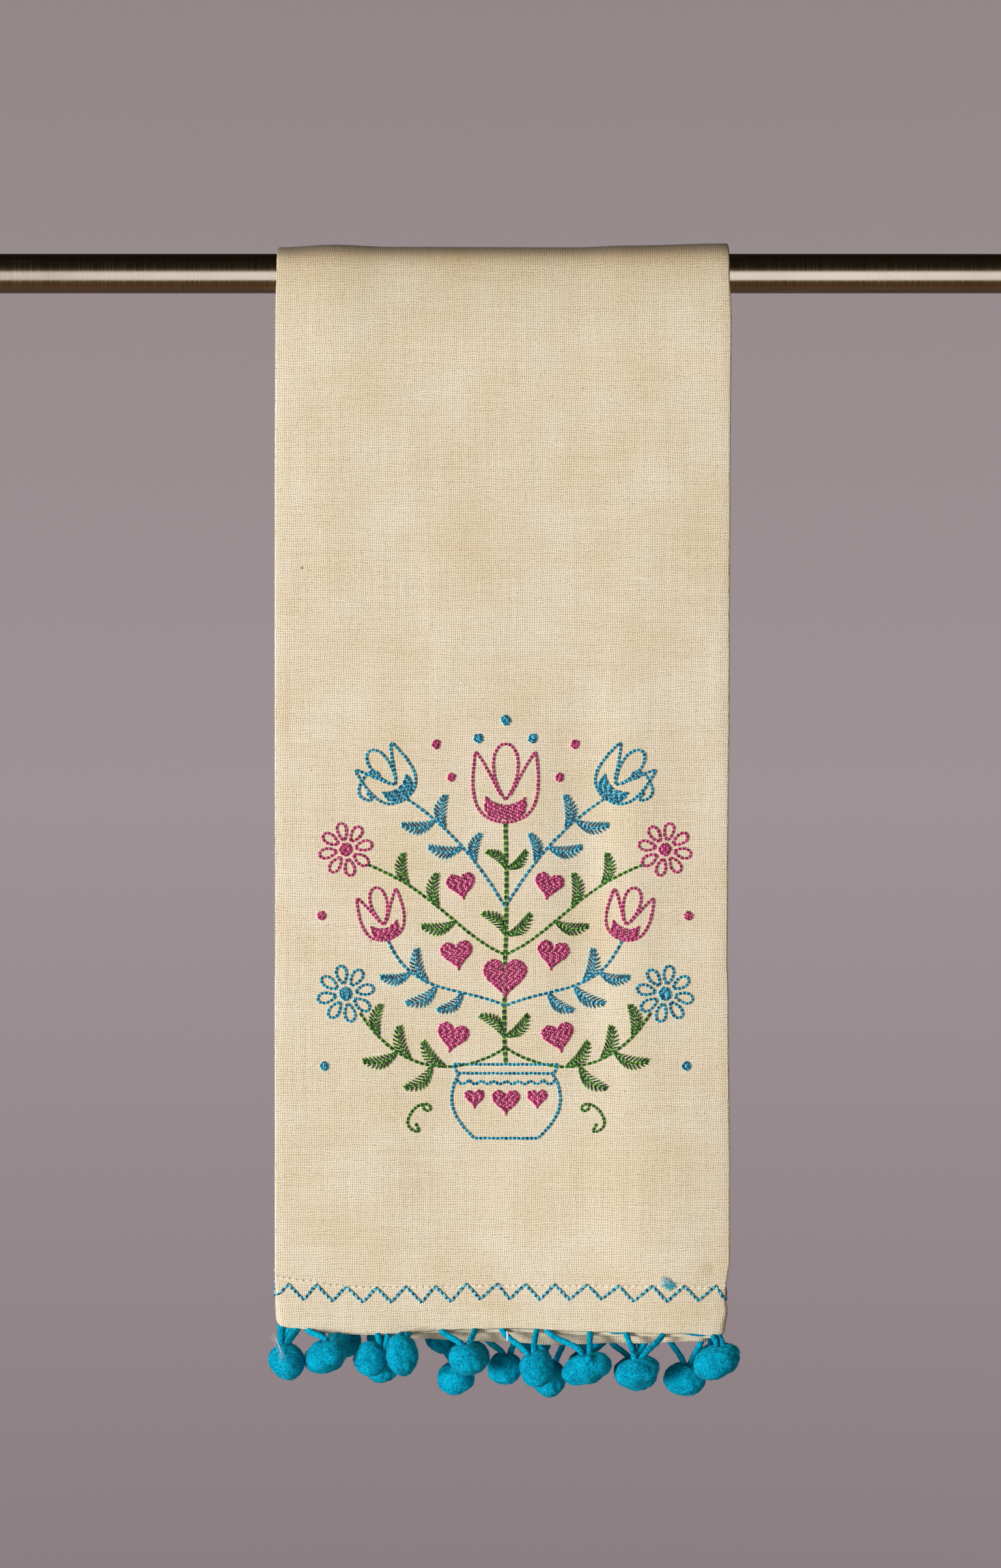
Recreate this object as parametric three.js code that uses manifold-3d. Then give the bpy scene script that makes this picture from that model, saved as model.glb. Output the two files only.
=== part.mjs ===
// A kitchen towel folded lengthwise in thirds and hung over a plain rod, with a braid of
// pom-poms sewn into its front hem.
//
// Sizes are millimetres. The origin is the centre of the rod's left end face. +X runs along the
// rod, +Y goes away from the viewer and +Z is up. A drop is a distance below the rod's axis.

import * as THREE from 'three';
import { mergeVertices } from 'three/addons/utils/BufferGeometryUtils.js';
import Module from 'manifold-3d';

const rodLength = 457;
const rodRadius = 6.6;
const rodChamfer = 0.6;
const rodSides = 36;

const foldedWidth = 151;
const towelLeft = (rodLength - foldedWidth) / 2;
const clothThickness = 1;
const frontDrop = 352;
const backDrop = 330;
const hemHeight = 16;
const hemThickness = 2.2;
const hemStep = 1.5;

// The hem thickens over its last step, and is a face and a facing with a slot between them for
// the braid's header ribbon. The ribbon reaches a little below the hem, where the cords join it.
const slotWidth = 1.3;
const slotDepth = 4;
const headerThickness = 0.4;
const headerRise = 3.6;
const headerReach = 2.1;

// A pom-pom hangs from two cords that start under the hem and end side by side on top of it.
const cordDiameter = 2;
const cordSides = 6;
const cordSpacing = 1.1;
const cordSteps = 3;
const cordStart = 0.9;
const cordFall = 0.35;
const seatGap = 0.3;
const pompomGrid = { around: 8, down: 6 };

// Where each layer's middle surface lies, measured outward from the rod's surface. The hem of
// the front drop is spread by the pom-poms, which push the inner layers back under the rod.
const layerOffsets = {
  overRod: { inner: 0.9, middle: 2.2, front: 3.5 },
  frontHem: { inner: -5, middle: 0.2, front: 4.8 },
  backHem: { inner: 1.4, middle: 4.1, front: 6.8 },
};
const spreadHeight = { front: 110, back: 90 };

// How far each free side edge stops short of the folded edge that it lies in.
const freeEdgeInset = { middle: 6, inner: 3 };

// The towel's side outlines on the front drop, as steps in from its nominal width.
const sideTable = [
  { drop: 0, left: 0.5, right: 0 },
  { drop: 25, left: 0, right: 0 },
  { drop: 150, left: 0.1, right: 0.5 },
  { drop: 260, left: 0, right: 0.7 },
  { drop: 325, left: 0, right: 0.5 },
  { drop: 335, left: 0.1, right: 1.6 },
  { drop: 344, left: 0.4, right: 1 },
  { drop: 352, left: 1, right: 2 },
];

// The lower edge of each layer on the front drop: share of the folded width, and its step below
// (or above, if negative) the nominal drop.
const hemEdges = {
  front: [
    { share: 0, step: -2.4 },
    { share: 0.08, step: -0.5 },
    { share: 0.15, step: 1.1 },
    { share: 0.27, step: 1.4 },
    { share: 0.36, step: 0 },
    { share: 0.54, step: -0.4 },
    { share: 0.72, step: 0.6 },
    { share: 0.9, step: 1 },
    { share: 1, step: 1.9 },
  ],
  middle: [
    { share: 0, step: -6 },
    { share: 0.12, step: 0 },
    { share: 0.31, step: 3 },
    { share: 0.55, step: 4.2 },
    { share: 0.63, step: 5 },
    { share: 0.8, step: 4.3 },
    { share: 1, step: 3.6 },
  ],
  inner: [
    { share: 0, step: -6 },
    { share: 0.4, step: -4.5 },
    { share: 0.75, step: -4 },
    { share: 1, step: -1 },
  ],
};

// The back drop's lower edge, and how much higher each inner layer ends.
const backEdge = [
  { share: 0, step: -1.5 },
  { share: 0.4, step: 0.4 },
  { share: 1, step: 1.8 },
];
const backStagger = { front: 0, middle: -1.6, inner: -3 };

// Extra slack of the outermost layer as it goes over the rod.
const crownTable = [
  { share: 0, slack: 0 },
  { share: 0.12, slack: 0.7 },
  { share: 0.25, slack: 0 },
  { share: 0.66, slack: 0 },
  { share: 0.78, slack: 0.6 },
  { share: 1, slack: 1.2 },
];
const crownReach = 45;

// Soft creases: x and drop of the middle, half-sizes, and depth (negative goes inward).
const frontCreases = [
  { x: 22, drop: 70, halfWide: 26, halfTall: 70, depth: 0.5 },
  { x: 104, drop: 205, halfWide: 11, halfTall: 60, depth: -0.9 },
  { x: 118, drop: 215, halfWide: 10, halfTall: 70, depth: 0.6 },
  { x: 62, drop: 300, halfWide: 30, halfTall: 60, depth: -0.8 },
  { x: 128, drop: 320, halfWide: 20, halfTall: 50, depth: 0.9 },
];
const backCreases = [
  { x: 45, drop: 210, halfWide: 30, halfTall: 120, depth: 1.2 },
  { x: 110, drop: 260, halfWide: 26, halfTall: 100, depth: -0.9 },
];

// How finely the cloth is laid out across its panels and folds, and down its two drops.
const panelSteps = { middle: 5, front: 10, inner: 5 };
const foldSteps = 4;
const frontDropRows = [12, 28, 52, 82, 112, 142, 172, 200, 228, 256, 284, 310];
const backDropRows = [14, 40, 85, 135, 185, 235, 280];
const rodArcSteps = 10;

// Pom-poms, layer by layer. hem is where the pair of cords leaves the hem and x where the ball
// hangs, both from the towel's left edge. span is the distance between the two cords, below the
// ball's distance under the nominal hem, and back its place behind the rod's axis. wide, tall and
// deep are the ball's own sizes. tilt lifts its right side and lean moves the cords' seat to the
// right over its top, both in degrees.
const pompomTables = {
  front: [
    {
      hem: 4.7, span: 4.4, x: 4.3, below: 10.2, back: -17,
      wide: 11.4, tall: 12, deep: 11.4, tilt: 14, lean: -7,
    },
    {
      hem: 16, span: 10.3, x: 17.5, below: 8.3, back: -17,
      wide: 14.8, tall: 10.8, deep: 11.4, tilt: 25, lean: 16,
    },
    {
      hem: 36, span: 3.6, x: 32.1, below: 9.6, back: -13,
      wide: 11.4, tall: 11.8, deep: 11.2, tilt: 10, lean: 45,
    },
    {
      hem: 43.4, span: 2.6, x: 42.8, below: 8.8, back: -18.4,
      wide: 10.8, tall: 12.2, deep: 10.6, tilt: 0, lean: 3,
    },
    {
      hem: 61, span: 11.6, x: 64.3, below: 8.9, back: -17,
      wide: 12.7, tall: 10.8, deep: 11.4, tilt: -6, lean: -8,
    },
    {
      hem: 81.3, span: 11.8, x: 87.2, below: 12, back: -17,
      wide: 11.7, tall: 12.5, deep: 11.4, tilt: 10, lean: -22,
    },
    {
      hem: 97.6, span: 14.6, x: 103.4, below: 12, back: -17,
      wide: 17, tall: 10.4, deep: 11.4, tilt: 18, lean: 0,
    },
    {
      hem: 122.8, span: 12.6, x: 120.2, below: 13.2, back: -17,
      wide: 15.4, tall: 9.8, deep: 11.4, tilt: 16, lean: 3,
    },
    {
      hem: 146.6, span: 2.2, x: 146.5, below: 9.8, back: -16.6,
      wide: 16, tall: 11.2, deep: 11.4, tilt: 26, lean: 12,
    },
  ],
  middle: [
    {
      hem: 4.6, span: 4, x: 3.6, below: 11.4, back: -4,
      wide: 10.8, tall: 11, deep: 11, tilt: 0, lean: 0,
    },
    {
      hem: 17, span: 9, x: 17, below: 10.4, back: -4,
      wide: 12, tall: 10.4, deep: 11, tilt: 18, lean: 10,
    },
    {
      hem: 37, span: 7, x: 35.4, below: 13.3, back: -2,
      wide: 11.6, tall: 12, deep: 10.6, tilt: 0, lean: 5,
    },
    {
      hem: 57.5, span: 9, x: 60.3, below: 17.2, back: -4,
      wide: 12.6, tall: 11.6, deep: 11, tilt: 14, lean: -4,
    },
    {
      hem: 75.2, span: 9.6, x: 76.7, below: 14.1, back: -4.2,
      wide: 12, tall: 11, deep: 11, tilt: 0, lean: 5,
    },
    {
      hem: 92, span: 8.4, x: 91.2, below: 17.2, back: -4,
      wide: 11.4, tall: 13.2, deep: 11, tilt: 8, lean: 12,
    },
    {
      hem: 104, span: 8, x: 103.4, below: 13, back: -4,
      wide: 12.2, tall: 10.6, deep: 11, tilt: 14, lean: 0,
    },
    {
      hem: 117.6, span: 12, x: 120, below: 15.9, back: -4,
      wide: 14.8, tall: 10.8, deep: 11, tilt: -12, lean: -4,
    },
    {
      hem: 136.8, span: 11, x: 136.5, below: 17.3, back: -5.4,
      wide: 14.8, tall: 11.4, deep: 11, tilt: 0, lean: 8,
    },
  ],
  inner: [
    {
      hem: 6.2, span: 2.8, x: 3.4, below: 13.6, back: 8,
      wide: 10.6, tall: 10.6, deep: 10.6, tilt: 0, lean: 0,
    },
    {
      hem: 23, span: 9, x: 22.3, below: 6.7, back: 8,
      wide: 11.6, tall: 11.6, deep: 11, tilt: 0, lean: 0,
    },
    {
      hem: 37, span: 9, x: 36.2, below: 6.5, back: 8.6,
      wide: 12, tall: 11.4, deep: 11, tilt: 0, lean: 0,
    },
    {
      hem: 54, span: 8, x: 55.6, below: 5.3, back: 8,
      wide: 12, tall: 11.4, deep: 11, tilt: 0, lean: 0,
    },
    {
      hem: 68, span: 5, x: 66, below: 12, back: 8.4,
      wide: 10.8, tall: 10.8, deep: 11, tilt: 0, lean: 0,
    },
    {
      hem: 86, span: 9, x: 86.5, below: 6.2, back: 8,
      wide: 12.6, tall: 11.6, deep: 11, tilt: 0, lean: 0,
    },
    {
      hem: 104, span: 9, x: 105.1, below: 5.2, back: 8.4,
      wide: 12.4, tall: 11.2, deep: 11, tilt: 0, lean: 0,
    },
    {
      hem: 119.8, span: 4, x: 121, below: 16.4, back: 8.4,
      wide: 12, tall: 10.4, deep: 11, tilt: 0, lean: 0,
    },
    {
      hem: 146, span: 3, x: 147, below: 13.2, back: 8.6,
      wide: 11.6, tall: 10.8, deep: 11, tilt: 0, lean: 0,
    },
  ],
};

const clothFinish = { color: 0xe9d9bd, roughness: 0.92, metalness: 0 };
const pompomFinish = { color: 0x0aa0c2, roughness: 0.95, metalness: 0 };
const braidFinish = { color: 0x0894b6, roughness: 0.9, metalness: 0 };
const rodFinish = { color: 0x8f8378, roughness: 0.34, metalness: 1 };

const wasm = await Module();
wasm.setup();

// Reads a column of a table between its rows, easing in and out of each row.
function readTable(table, key, at, column) {
  const last = table[table.length - 1];
  if (at <= table[0][key]) return table[0][column];
  if (at >= last[key]) return last[column];
  const next = table.findIndex((row) => row[key] > at);
  const low = table[next - 1];
  const high = table[next];
  const share = THREE.MathUtils.smoothstep(at, low[key], high[key]);
  return THREE.MathUtils.lerp(low[column], high[column], share);
}

// How far the soft creases push the cloth outward.
function creaseDepth(creases, x, drop) {
  let depth = 0;
  for (const crease of creases) {
    const across = (x - towelLeft - crease.x) / crease.halfWide;
    const down = (drop - crease.drop) / crease.halfTall;
    depth += crease.depth * Math.exp(-across * across - down * down);
  }
  return depth;
}

// A station is a place across the unrolled cloth: on a layer, at a share of the folded width, or
// part of the way round the fold that joins two layers.
function clothStations() {
  const stations = [];
  for (let i = 0; i <= panelSteps.middle; i += 1) {
    stations.push({ layer: 'middle', share: 1 - i / panelSteps.middle });
  }
  for (let i = 1; i < foldSteps; i += 1) {
    stations.push({ fold: 'left', from: 'middle', to: 'front', share: 0, turn: i / foldSteps });
  }
  for (let i = 0; i <= panelSteps.front; i += 1) {
    stations.push({ layer: 'front', share: i / panelSteps.front });
  }
  for (let i = 1; i < foldSteps; i += 1) {
    stations.push({ fold: 'right', from: 'front', to: 'inner', share: 1, turn: i / foldSteps });
  }
  for (let i = 0; i <= panelSteps.inner; i += 1) {
    stations.push({ layer: 'inner', share: 1 - i / panelSteps.inner });
  }
  return stations;
}

// A row is a place along the cloth: a distance down the front or back drop from the rod's axis,
// a distance up from the hem's lower edge, or an angle round the rod from the front.
function rowDrop(row, station) {
  if (row.drop !== undefined) return row.drop;
  if (row.angle !== undefined) return 0;
  const share = station.share;
  const edgeOf = (layer) => {
    if (row.side === 'front') return frontDrop + readTable(hemEdges[layer], 'share', share, 'step');
    return backDrop + readTable(backEdge, 'share', share, 'step') + backStagger[layer];
  };
  const edge = station.layer
    ? edgeOf(station.layer)
    : THREE.MathUtils.lerp(edgeOf(station.from), edgeOf(station.to), station.turn);
  return edge - row.aboveEdge;
}

// How far a layer's middle surface lies outward from the rod's surface.
function layerOffset(layer, row, drop, share) {
  const rodOffset = layerOffsets.overRod[layer];
  if (row.angle !== undefined) return rodOffset + crownSlack(layer, share, 0);
  const front = row.side === 'front';
  const hemOffset = (front ? layerOffsets.frontHem : layerOffsets.backHem)[layer];
  const nominal = front ? frontDrop : backDrop;
  const spread = THREE.MathUtils.smoothstep(drop, nominal - spreadHeight[row.side], nominal);
  return THREE.MathUtils.lerp(rodOffset, hemOffset, spread) + crownSlack(layer, share, drop);
}

// The outermost layer's slack, which fades out down each drop.
function crownSlack(layer, share, drop) {
  if (layer !== 'front') return 0;
  const fade = 1 - THREE.MathUtils.smoothstep(drop, 0, crownReach);
  return readTable(crownTable, 'share', share, 'slack') * fade;
}

// The point of the folded section at a station and row, as x and an outward offset from the rod's
// surface, with the direction that the cloth's right side faces there.
function sectionPoint(station, row) {
  const drop = rowDrop(row, station);
  const onFront = row.side === 'front' ? drop : 0;
  const left = towelLeft + readTable(sideTable, 'drop', onFront, 'left');
  const right = towelLeft + foldedWidth - readTable(sideTable, 'drop', onFront, 'right');
  const half = halfThickness(row);
  const offset = (layer, share) => layerOffset(layer, row, drop, share);
  const leftRadius = (offset('front', 0) - offset('middle', 0)) / 2;
  const rightRadius = (offset('front', 1) - offset('inner', 1)) / 2;
  const leftCentre = left + half + leftRadius;
  const rightCentre = right - half - rightRadius;

  if (station.fold === 'left') {
    const angle = Math.PI * station.turn;
    return {
      x: leftCentre - leftRadius * Math.sin(angle),
      offset: offset('middle', 0) + leftRadius * (1 - Math.cos(angle)),
      facing: [-Math.sin(angle), -Math.cos(angle)],
      drop,
    };
  }
  if (station.fold === 'right') {
    const angle = Math.PI * station.turn;
    return {
      x: rightCentre + rightRadius * Math.sin(angle),
      offset: offset('inner', 1) + rightRadius * (1 + Math.cos(angle)),
      facing: [Math.sin(angle), Math.cos(angle)],
      drop,
    };
  }
  const ends = {
    middle: [leftCentre, right - freeEdgeInset.middle],
    front: [leftCentre, rightCentre],
    inner: [left + freeEdgeInset.inner, rightCentre],
  }[station.layer];
  return {
    x: THREE.MathUtils.lerp(ends[0], ends[1], station.share),
    offset: offset(station.layer, station.share),
    facing: [0, station.layer === 'front' ? 1 : -1],
    drop,
  };
}

// A point of the cloth in space, lifted off its middle surface towards its right side.
function clothPoint(station, row, lift) {
  const section = sectionPoint(station, row);
  const x = section.x + section.facing[0] * lift;
  let outward = rodRadius + section.offset + section.facing[1] * lift;
  if (row.angle !== undefined) {
    return [x, -outward * Math.cos(row.angle), outward * Math.sin(row.angle)];
  }
  const creases = row.side === 'front' ? frontCreases : backCreases;
  const fade = THREE.MathUtils.smoothstep(section.drop, 0, crownReach);
  outward += creaseDepth(creases, section.x, section.drop) * fade;
  return [x, row.side === 'front' ? -outward : outward, -section.drop];
}

// Half the cloth's thickness, which is greater in the hems.
function halfThickness(row) {
  return (row.inHem ? hemThickness : clothThickness) / 2;
}

// The rows from the back hem over the rod to the front hem.
function clothRows() {
  const rows = [];
  rows.push({ side: 'back', aboveEdge: 0, inHem: true });
  rows.push({ side: 'back', aboveEdge: hemHeight, inHem: true });
  rows.push({ side: 'back', aboveEdge: hemHeight + hemStep });
  for (const drop of backDropRows.toReversed()) rows.push({ side: 'back', drop });
  for (let i = rodArcSteps; i >= 0; i -= 1) {
    rows.push({ side: 'top', angle: (Math.PI * i) / rodArcSteps });
  }
  for (const drop of frontDropRows) rows.push({ side: 'front', drop });
  rows.push({ side: 'front', aboveEdge: hemHeight + hemStep });
  rows.push({ side: 'front', aboveEdge: hemHeight, inHem: true });
  rows.push({ side: 'front', aboveEdge: slotDepth, inHem: true });
  rows.push({ side: 'front', aboveEdge: 0, inHem: true });
  return rows;
}

// The triangles that fill a closed loop of points seen along X, wound the way the loop runs.
function capTriangles(loop) {
  const flat = loop.map(([, y, z]) => new THREE.Vector2(y, z));
  const triangles = THREE.ShapeUtils.triangulateShape(flat, []);
  if (THREE.ShapeUtils.isClockWise(flat)) triangles.forEach((triangle) => triangle.reverse());
  return triangles;
}

// Joins closed loops of points, one for each station, into one closed mesh.
function loftLoops(loops) {
  const size = loops[0].length;
  const indices = [];
  for (let i = 0; i + 1 < loops.length; i += 1) {
    for (let j = 0; j < size; j += 1) {
      const next = (j + 1) % size;
      const a = i * size + j;
      const b = i * size + next;
      const c = (i + 1) * size + next;
      const d = (i + 1) * size + j;
      indices.push(a, b, c, a, c, d);
    }
  }
  const lastStart = (loops.length - 1) * size;
  for (const [a, b, c] of capTriangles(loops[0])) indices.push(a, c, b);
  for (const [a, b, c] of capTriangles(loops[loops.length - 1])) {
    indices.push(lastStart + a, lastStart + b, lastStart + c);
  }
  const geometry = new THREE.BufferGeometry();
  geometry.setAttribute('position', new THREE.Float32BufferAttribute(loops.flat(2), 3));
  geometry.setIndex(indices);
  return geometry;
}

// The towel: its right side from hem to hem, round the front hem's slot, and its wrong side back.
function towelGeometry() {
  const rows = clothRows();
  const edgeRow = rows[rows.length - 1];
  const slotRow = rows[rows.length - 2];
  const slotHalf = slotWidth / 2;
  const profile = [
    ...rows.map((row) => ({ row, lift: halfThickness(row) })),
    { row: edgeRow, lift: slotHalf },
    { row: slotRow, lift: slotHalf },
    { row: slotRow, lift: -slotHalf },
    { row: edgeRow, lift: -slotHalf },
    ...rows.toReversed().map((row) => ({ row, lift: -halfThickness(row) })),
  ];
  return loftLoops(clothStations().map((station) =>
    profile.map(({ row, lift }) => clothPoint(station, row, lift))));
}

// The ribbon that is caught in the hem's slot all the way along the fold.
function headerGeometry() {
  const half = headerThickness / 2;
  const profile = [
    { aboveEdge: headerRise, lift: half },
    { aboveEdge: -headerReach, lift: half },
    { aboveEdge: -headerReach, lift: -half },
    { aboveEdge: headerRise, lift: -half },
  ];
  return loftLoops(clothStations().map((station) =>
    profile.map(({ aboveEdge, lift }) =>
      clothPoint(station, { side: 'front', aboveEdge, inHem: true }, lift))));
}

// Whether a station belongs to a layer, which runs on to the middle of each of its folds.
function isOnLayer(station, layer) {
  if (station.layer) return station.layer === layer;
  return (station.turn <= 0.5 && station.from === layer)
    || (station.turn >= 0.5 && station.to === layer);
}

// The point under a layer's hem, below its lower edge, at a distance from the towel's left edge.
function underHem(layer, fromLeft, below) {
  const x = towelLeft + fromLeft;
  const row = { side: 'front', aboveEdge: -below, inHem: true };
  const points = clothStations()
    .filter((station) => isOnLayer(station, layer))
    .map((station) => new THREE.Vector3(...clothPoint(station, row, 0)))
    .sort((a, b) => a.x - b.x);
  const after = points.findLastIndex((point) => point.x < x) + 1;
  const next = THREE.MathUtils.clamp(after, 1, points.length - 1);
  const [left, right] = [points[next - 1], points[next]];
  return left.clone().lerp(right, (x - left.x) / (right.x - left.x));
}

// Where a ball hangs and how it leans.
function pompomPose(row) {
  const centre = new THREE.Vector3(towelLeft + row.x, row.back, -frontDrop - row.below);
  const turn = new THREE.Euler(0, THREE.MathUtils.degToRad(-row.tilt), 0);
  return { centre, turn };
}

// Where the cords meet a ball: a place just off its surface, with the ways up and across there.
function pompomSeat(row) {
  const tilt = THREE.MathUtils.degToRad(row.tilt);
  const lean = THREE.MathUtils.degToRad(row.lean);
  const up = new THREE.Vector3(Math.sin(lean), 0, Math.cos(lean));
  const across = new THREE.Vector3(Math.cos(lean), 0, -Math.sin(lean));
  const sideways = Math.sin(lean + tilt) / (row.wide / 2);
  const upward = Math.cos(lean + tilt) / (row.tall / 2);
  const reach = 1 / Math.hypot(sideways, upward) + seatGap;
  return { seat: pompomPose(row).centre.addScaledVector(up, reach), up, across };
}

function pompomGeometry(row) {
  const ball = new THREE.SphereGeometry(1, pompomGrid.around, pompomGrid.down);
  ball.rotateX(Math.PI / 2);
  ball.scale(row.wide / 2, row.deep / 2, row.tall / 2);
  return ball;
}

// One cord of a pom-pom, from under the hem down to its seat on the ball. A full circle
// gets two sides for each of its curve segments.
function cordGeometry(layer, row, side) {
  const { seat, up, across } = pompomSeat(row);
  const start = underHem(layer, row.hem + (side * row.span) / 2, cordStart);
  const end = seat.clone().addScaledVector(across, side * cordSpacing);
  const fall = start.distanceTo(end) * cordFall;
  const route = new THREE.CubicBezierCurve3(
    start,
    start.clone().add(new THREE.Vector3(0, 0, -fall)),
    end.clone().addScaledVector(up, fall),
    end,
  );
  const section = new THREE.Shape();
  section.absarc(0, 0, cordDiameter / 2, 0, 2 * Math.PI);
  return new THREE.ExtrudeGeometry(section, {
    steps: cordSteps,
    curveSegments: cordSides / 2,
    bevelEnabled: false,
    extrudePath: route,
  });
}

function toManifold(geometry) {
  const bare = geometry.clone();
  bare.deleteAttribute('normal');
  bare.deleteAttribute('uv');
  const merged = mergeVertices(bare, 1e-4);
  return new wasm.Manifold(new wasm.Mesh({
    numProp: 3,
    vertProperties: new Float32Array(merged.attributes.position.array),
    triVerts: new Uint32Array(merged.index.array),
  }));
}

function fromManifold(solid) {
  const mesh = solid.getMesh();
  const geometry = new THREE.BufferGeometry();
  geometry.setAttribute('position', new THREE.Float32BufferAttribute(mesh.vertProperties, 3));
  geometry.setIndex([...mesh.triVerts]);
  return geometry;
}

// The header ribbon joined to every cord.
function braidGeometry() {
  const pieces = [headerGeometry()];
  for (const [layer, rows] of Object.entries(pompomTables)) {
    for (const row of rows) {
      pieces.push(cordGeometry(layer, row, -1), cordGeometry(layer, row, 1));
    }
  }
  const braid = pieces.map(toManifold).reduce((joined, piece) => joined.add(piece));
  return fromManifold(braid);
}

function rodGeometry() {
  const profile = [
    new THREE.Vector2(0, 0),
    new THREE.Vector2(rodRadius - rodChamfer, 0),
    new THREE.Vector2(rodRadius, rodChamfer),
    new THREE.Vector2(rodRadius, rodLength - rodChamfer),
    new THREE.Vector2(rodRadius - rodChamfer, rodLength),
    new THREE.Vector2(0, rodLength),
  ];
  const rod = new THREE.LatheGeometry(profile, rodSides);
  rod.rotateZ(-Math.PI / 2);
  return rod;
}

function addPiece(group, name, geometry, finish) {
  geometry.computeVertexNormals();
  const mesh = new THREE.Mesh(geometry, new THREE.MeshStandardMaterial(finish));
  mesh.name = name;
  group.add(mesh);
  return mesh;
}

const group = new THREE.Group();
addPiece(group, 'rod', rodGeometry(), rodFinish);
addPiece(group, 'towel', towelGeometry(), clothFinish);
addPiece(group, 'pompom_braid', braidGeometry(), braidFinish);
for (const [layer, rows] of Object.entries(pompomTables)) {
  rows.forEach((row, index) => {
    const ball = addPiece(group, `pompom_${layer}_${index + 1}`, pompomGeometry(row), pompomFinish);
    const { centre, turn } = pompomPose(row);
    ball.position.copy(centre);
    ball.rotation.copy(turn);
  });
}

export default group;
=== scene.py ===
import math

import bmesh
import bpy
import numpy as np
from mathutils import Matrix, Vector


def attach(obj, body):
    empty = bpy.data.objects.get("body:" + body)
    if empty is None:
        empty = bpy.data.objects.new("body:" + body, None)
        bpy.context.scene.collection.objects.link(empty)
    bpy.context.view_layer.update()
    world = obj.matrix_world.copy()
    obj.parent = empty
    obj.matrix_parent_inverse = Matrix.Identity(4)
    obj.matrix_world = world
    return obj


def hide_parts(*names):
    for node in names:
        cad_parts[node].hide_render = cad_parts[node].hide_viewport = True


# A kitchen towel folded in thirds over a rod, with a felted-ball braid sewn into its front hem.
# Sizes in the dictionaries are millimetres, in the same frame as the CAD part: X along the rod,
# Y away from the viewer, Z up. A drop is a distance below the rod's axis.

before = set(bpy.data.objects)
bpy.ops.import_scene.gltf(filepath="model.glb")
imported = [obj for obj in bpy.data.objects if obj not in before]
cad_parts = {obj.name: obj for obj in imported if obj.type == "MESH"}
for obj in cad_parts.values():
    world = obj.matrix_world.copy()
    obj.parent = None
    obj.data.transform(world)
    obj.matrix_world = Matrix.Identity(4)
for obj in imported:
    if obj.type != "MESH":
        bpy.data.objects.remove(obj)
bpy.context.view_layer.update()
metresPerMm = 0.001
print("stage 1: frame loaded,", len(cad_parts), "CAD nodes")

# The camera stands where the photograph was taken from, level with the middle of the frame.

photo = {
    "pixelsHigh": 2408,
    "mmPerPixel": 0.2163,  # on the front of the towel
    "middleX": 228.06,
    "middleDrop": 171.0,
    "clothPlane": -10.5,
    "distance": 1209.5,
    "filmHeight": 36.0,
}


def makeCamera():
    data = bpy.data.cameras.new("studioCamera")
    data.sensor_width = photo["filmHeight"]
    viewHeight = photo["pixelsHigh"] * photo["mmPerPixel"]
    data.lens = photo["filmHeight"] * photo["distance"] / viewHeight
    data.clip_end = 50
    camera = bpy.data.objects.new("studioCamera", data)
    camera.location = Vector((
        photo["middleX"],
        photo["clothPlane"] - photo["distance"],
        -photo["middleDrop"],
    )) * metresPerMm
    camera.rotation_euler = (math.pi / 2, 0, 0)
    bpy.context.collection.objects.link(camera)
    bpy.context.scene.camera = camera


makeCamera()
print("stage 2: camera placed")


def ease(share):
    share = np.clip(share, 0, 1)
    return share * share * (3 - 2 * share)


def mix(low, high, share):
    return low + (high - low) * share


def readTable(table, key, at, column):
    # reads a column between its rows, easing in and out of each row
    keys, values = np.array(table[key], float), np.array(table[column], float)
    row = np.clip(np.searchsorted(keys, at, side="right") - 1, 0, len(keys) - 2)
    share = ease((at - keys[row]) / (keys[row + 1] - keys[row]))
    return mix(values[row], values[row + 1], share)


def unit(vectors):
    return vectors / np.maximum(np.linalg.norm(vectors, axis=-1, keepdims=True), 1e-9)


def lengthAlong(points):
    # how far along a line each of its points is
    return np.concatenate([[0], np.cumsum(np.linalg.norm(np.diff(points, axis=0), axis=1))])


def pointsAt(at, length, points):
    return np.stack([np.interp(at, length, column) for column in points.T], -1)


def bezier(points, count=80):
    t = np.linspace(0, 1, count)[:, None]
    first, second, third, fourth = (np.array(point, float) for point in points)
    return ((1 - t)**3 * first + 3 * (1 - t)**2 * t * second
            + 3 * (1 - t) * t**2 * third + t**3 * fourth)


def softNoise(points, size, seed, waves=9):
    # smooth bumps of about the given size, from -1 to 1, made of crossing waves
    draw = np.random.default_rng(seed)
    directions = unit(draw.normal(size=(waves, points.shape[-1])))
    lengths = size * draw.uniform(1.4, 3.0, waves)
    phases = draw.uniform(0, 2 * math.pi, waves)
    total = np.zeros(points.shape[:-1])
    for direction, length, phase in zip(directions, lengths, phases):
        total = total + np.sin(points @ direction * (2 * math.pi / length) + phase)
    return total / math.sqrt(waves * 2)


def bumpsOf(points, layers):
    # layers of bumps, each with its size, seed and height
    return sum(height * softNoise(points, size, seed) for size, seed, height in layers)


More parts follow.
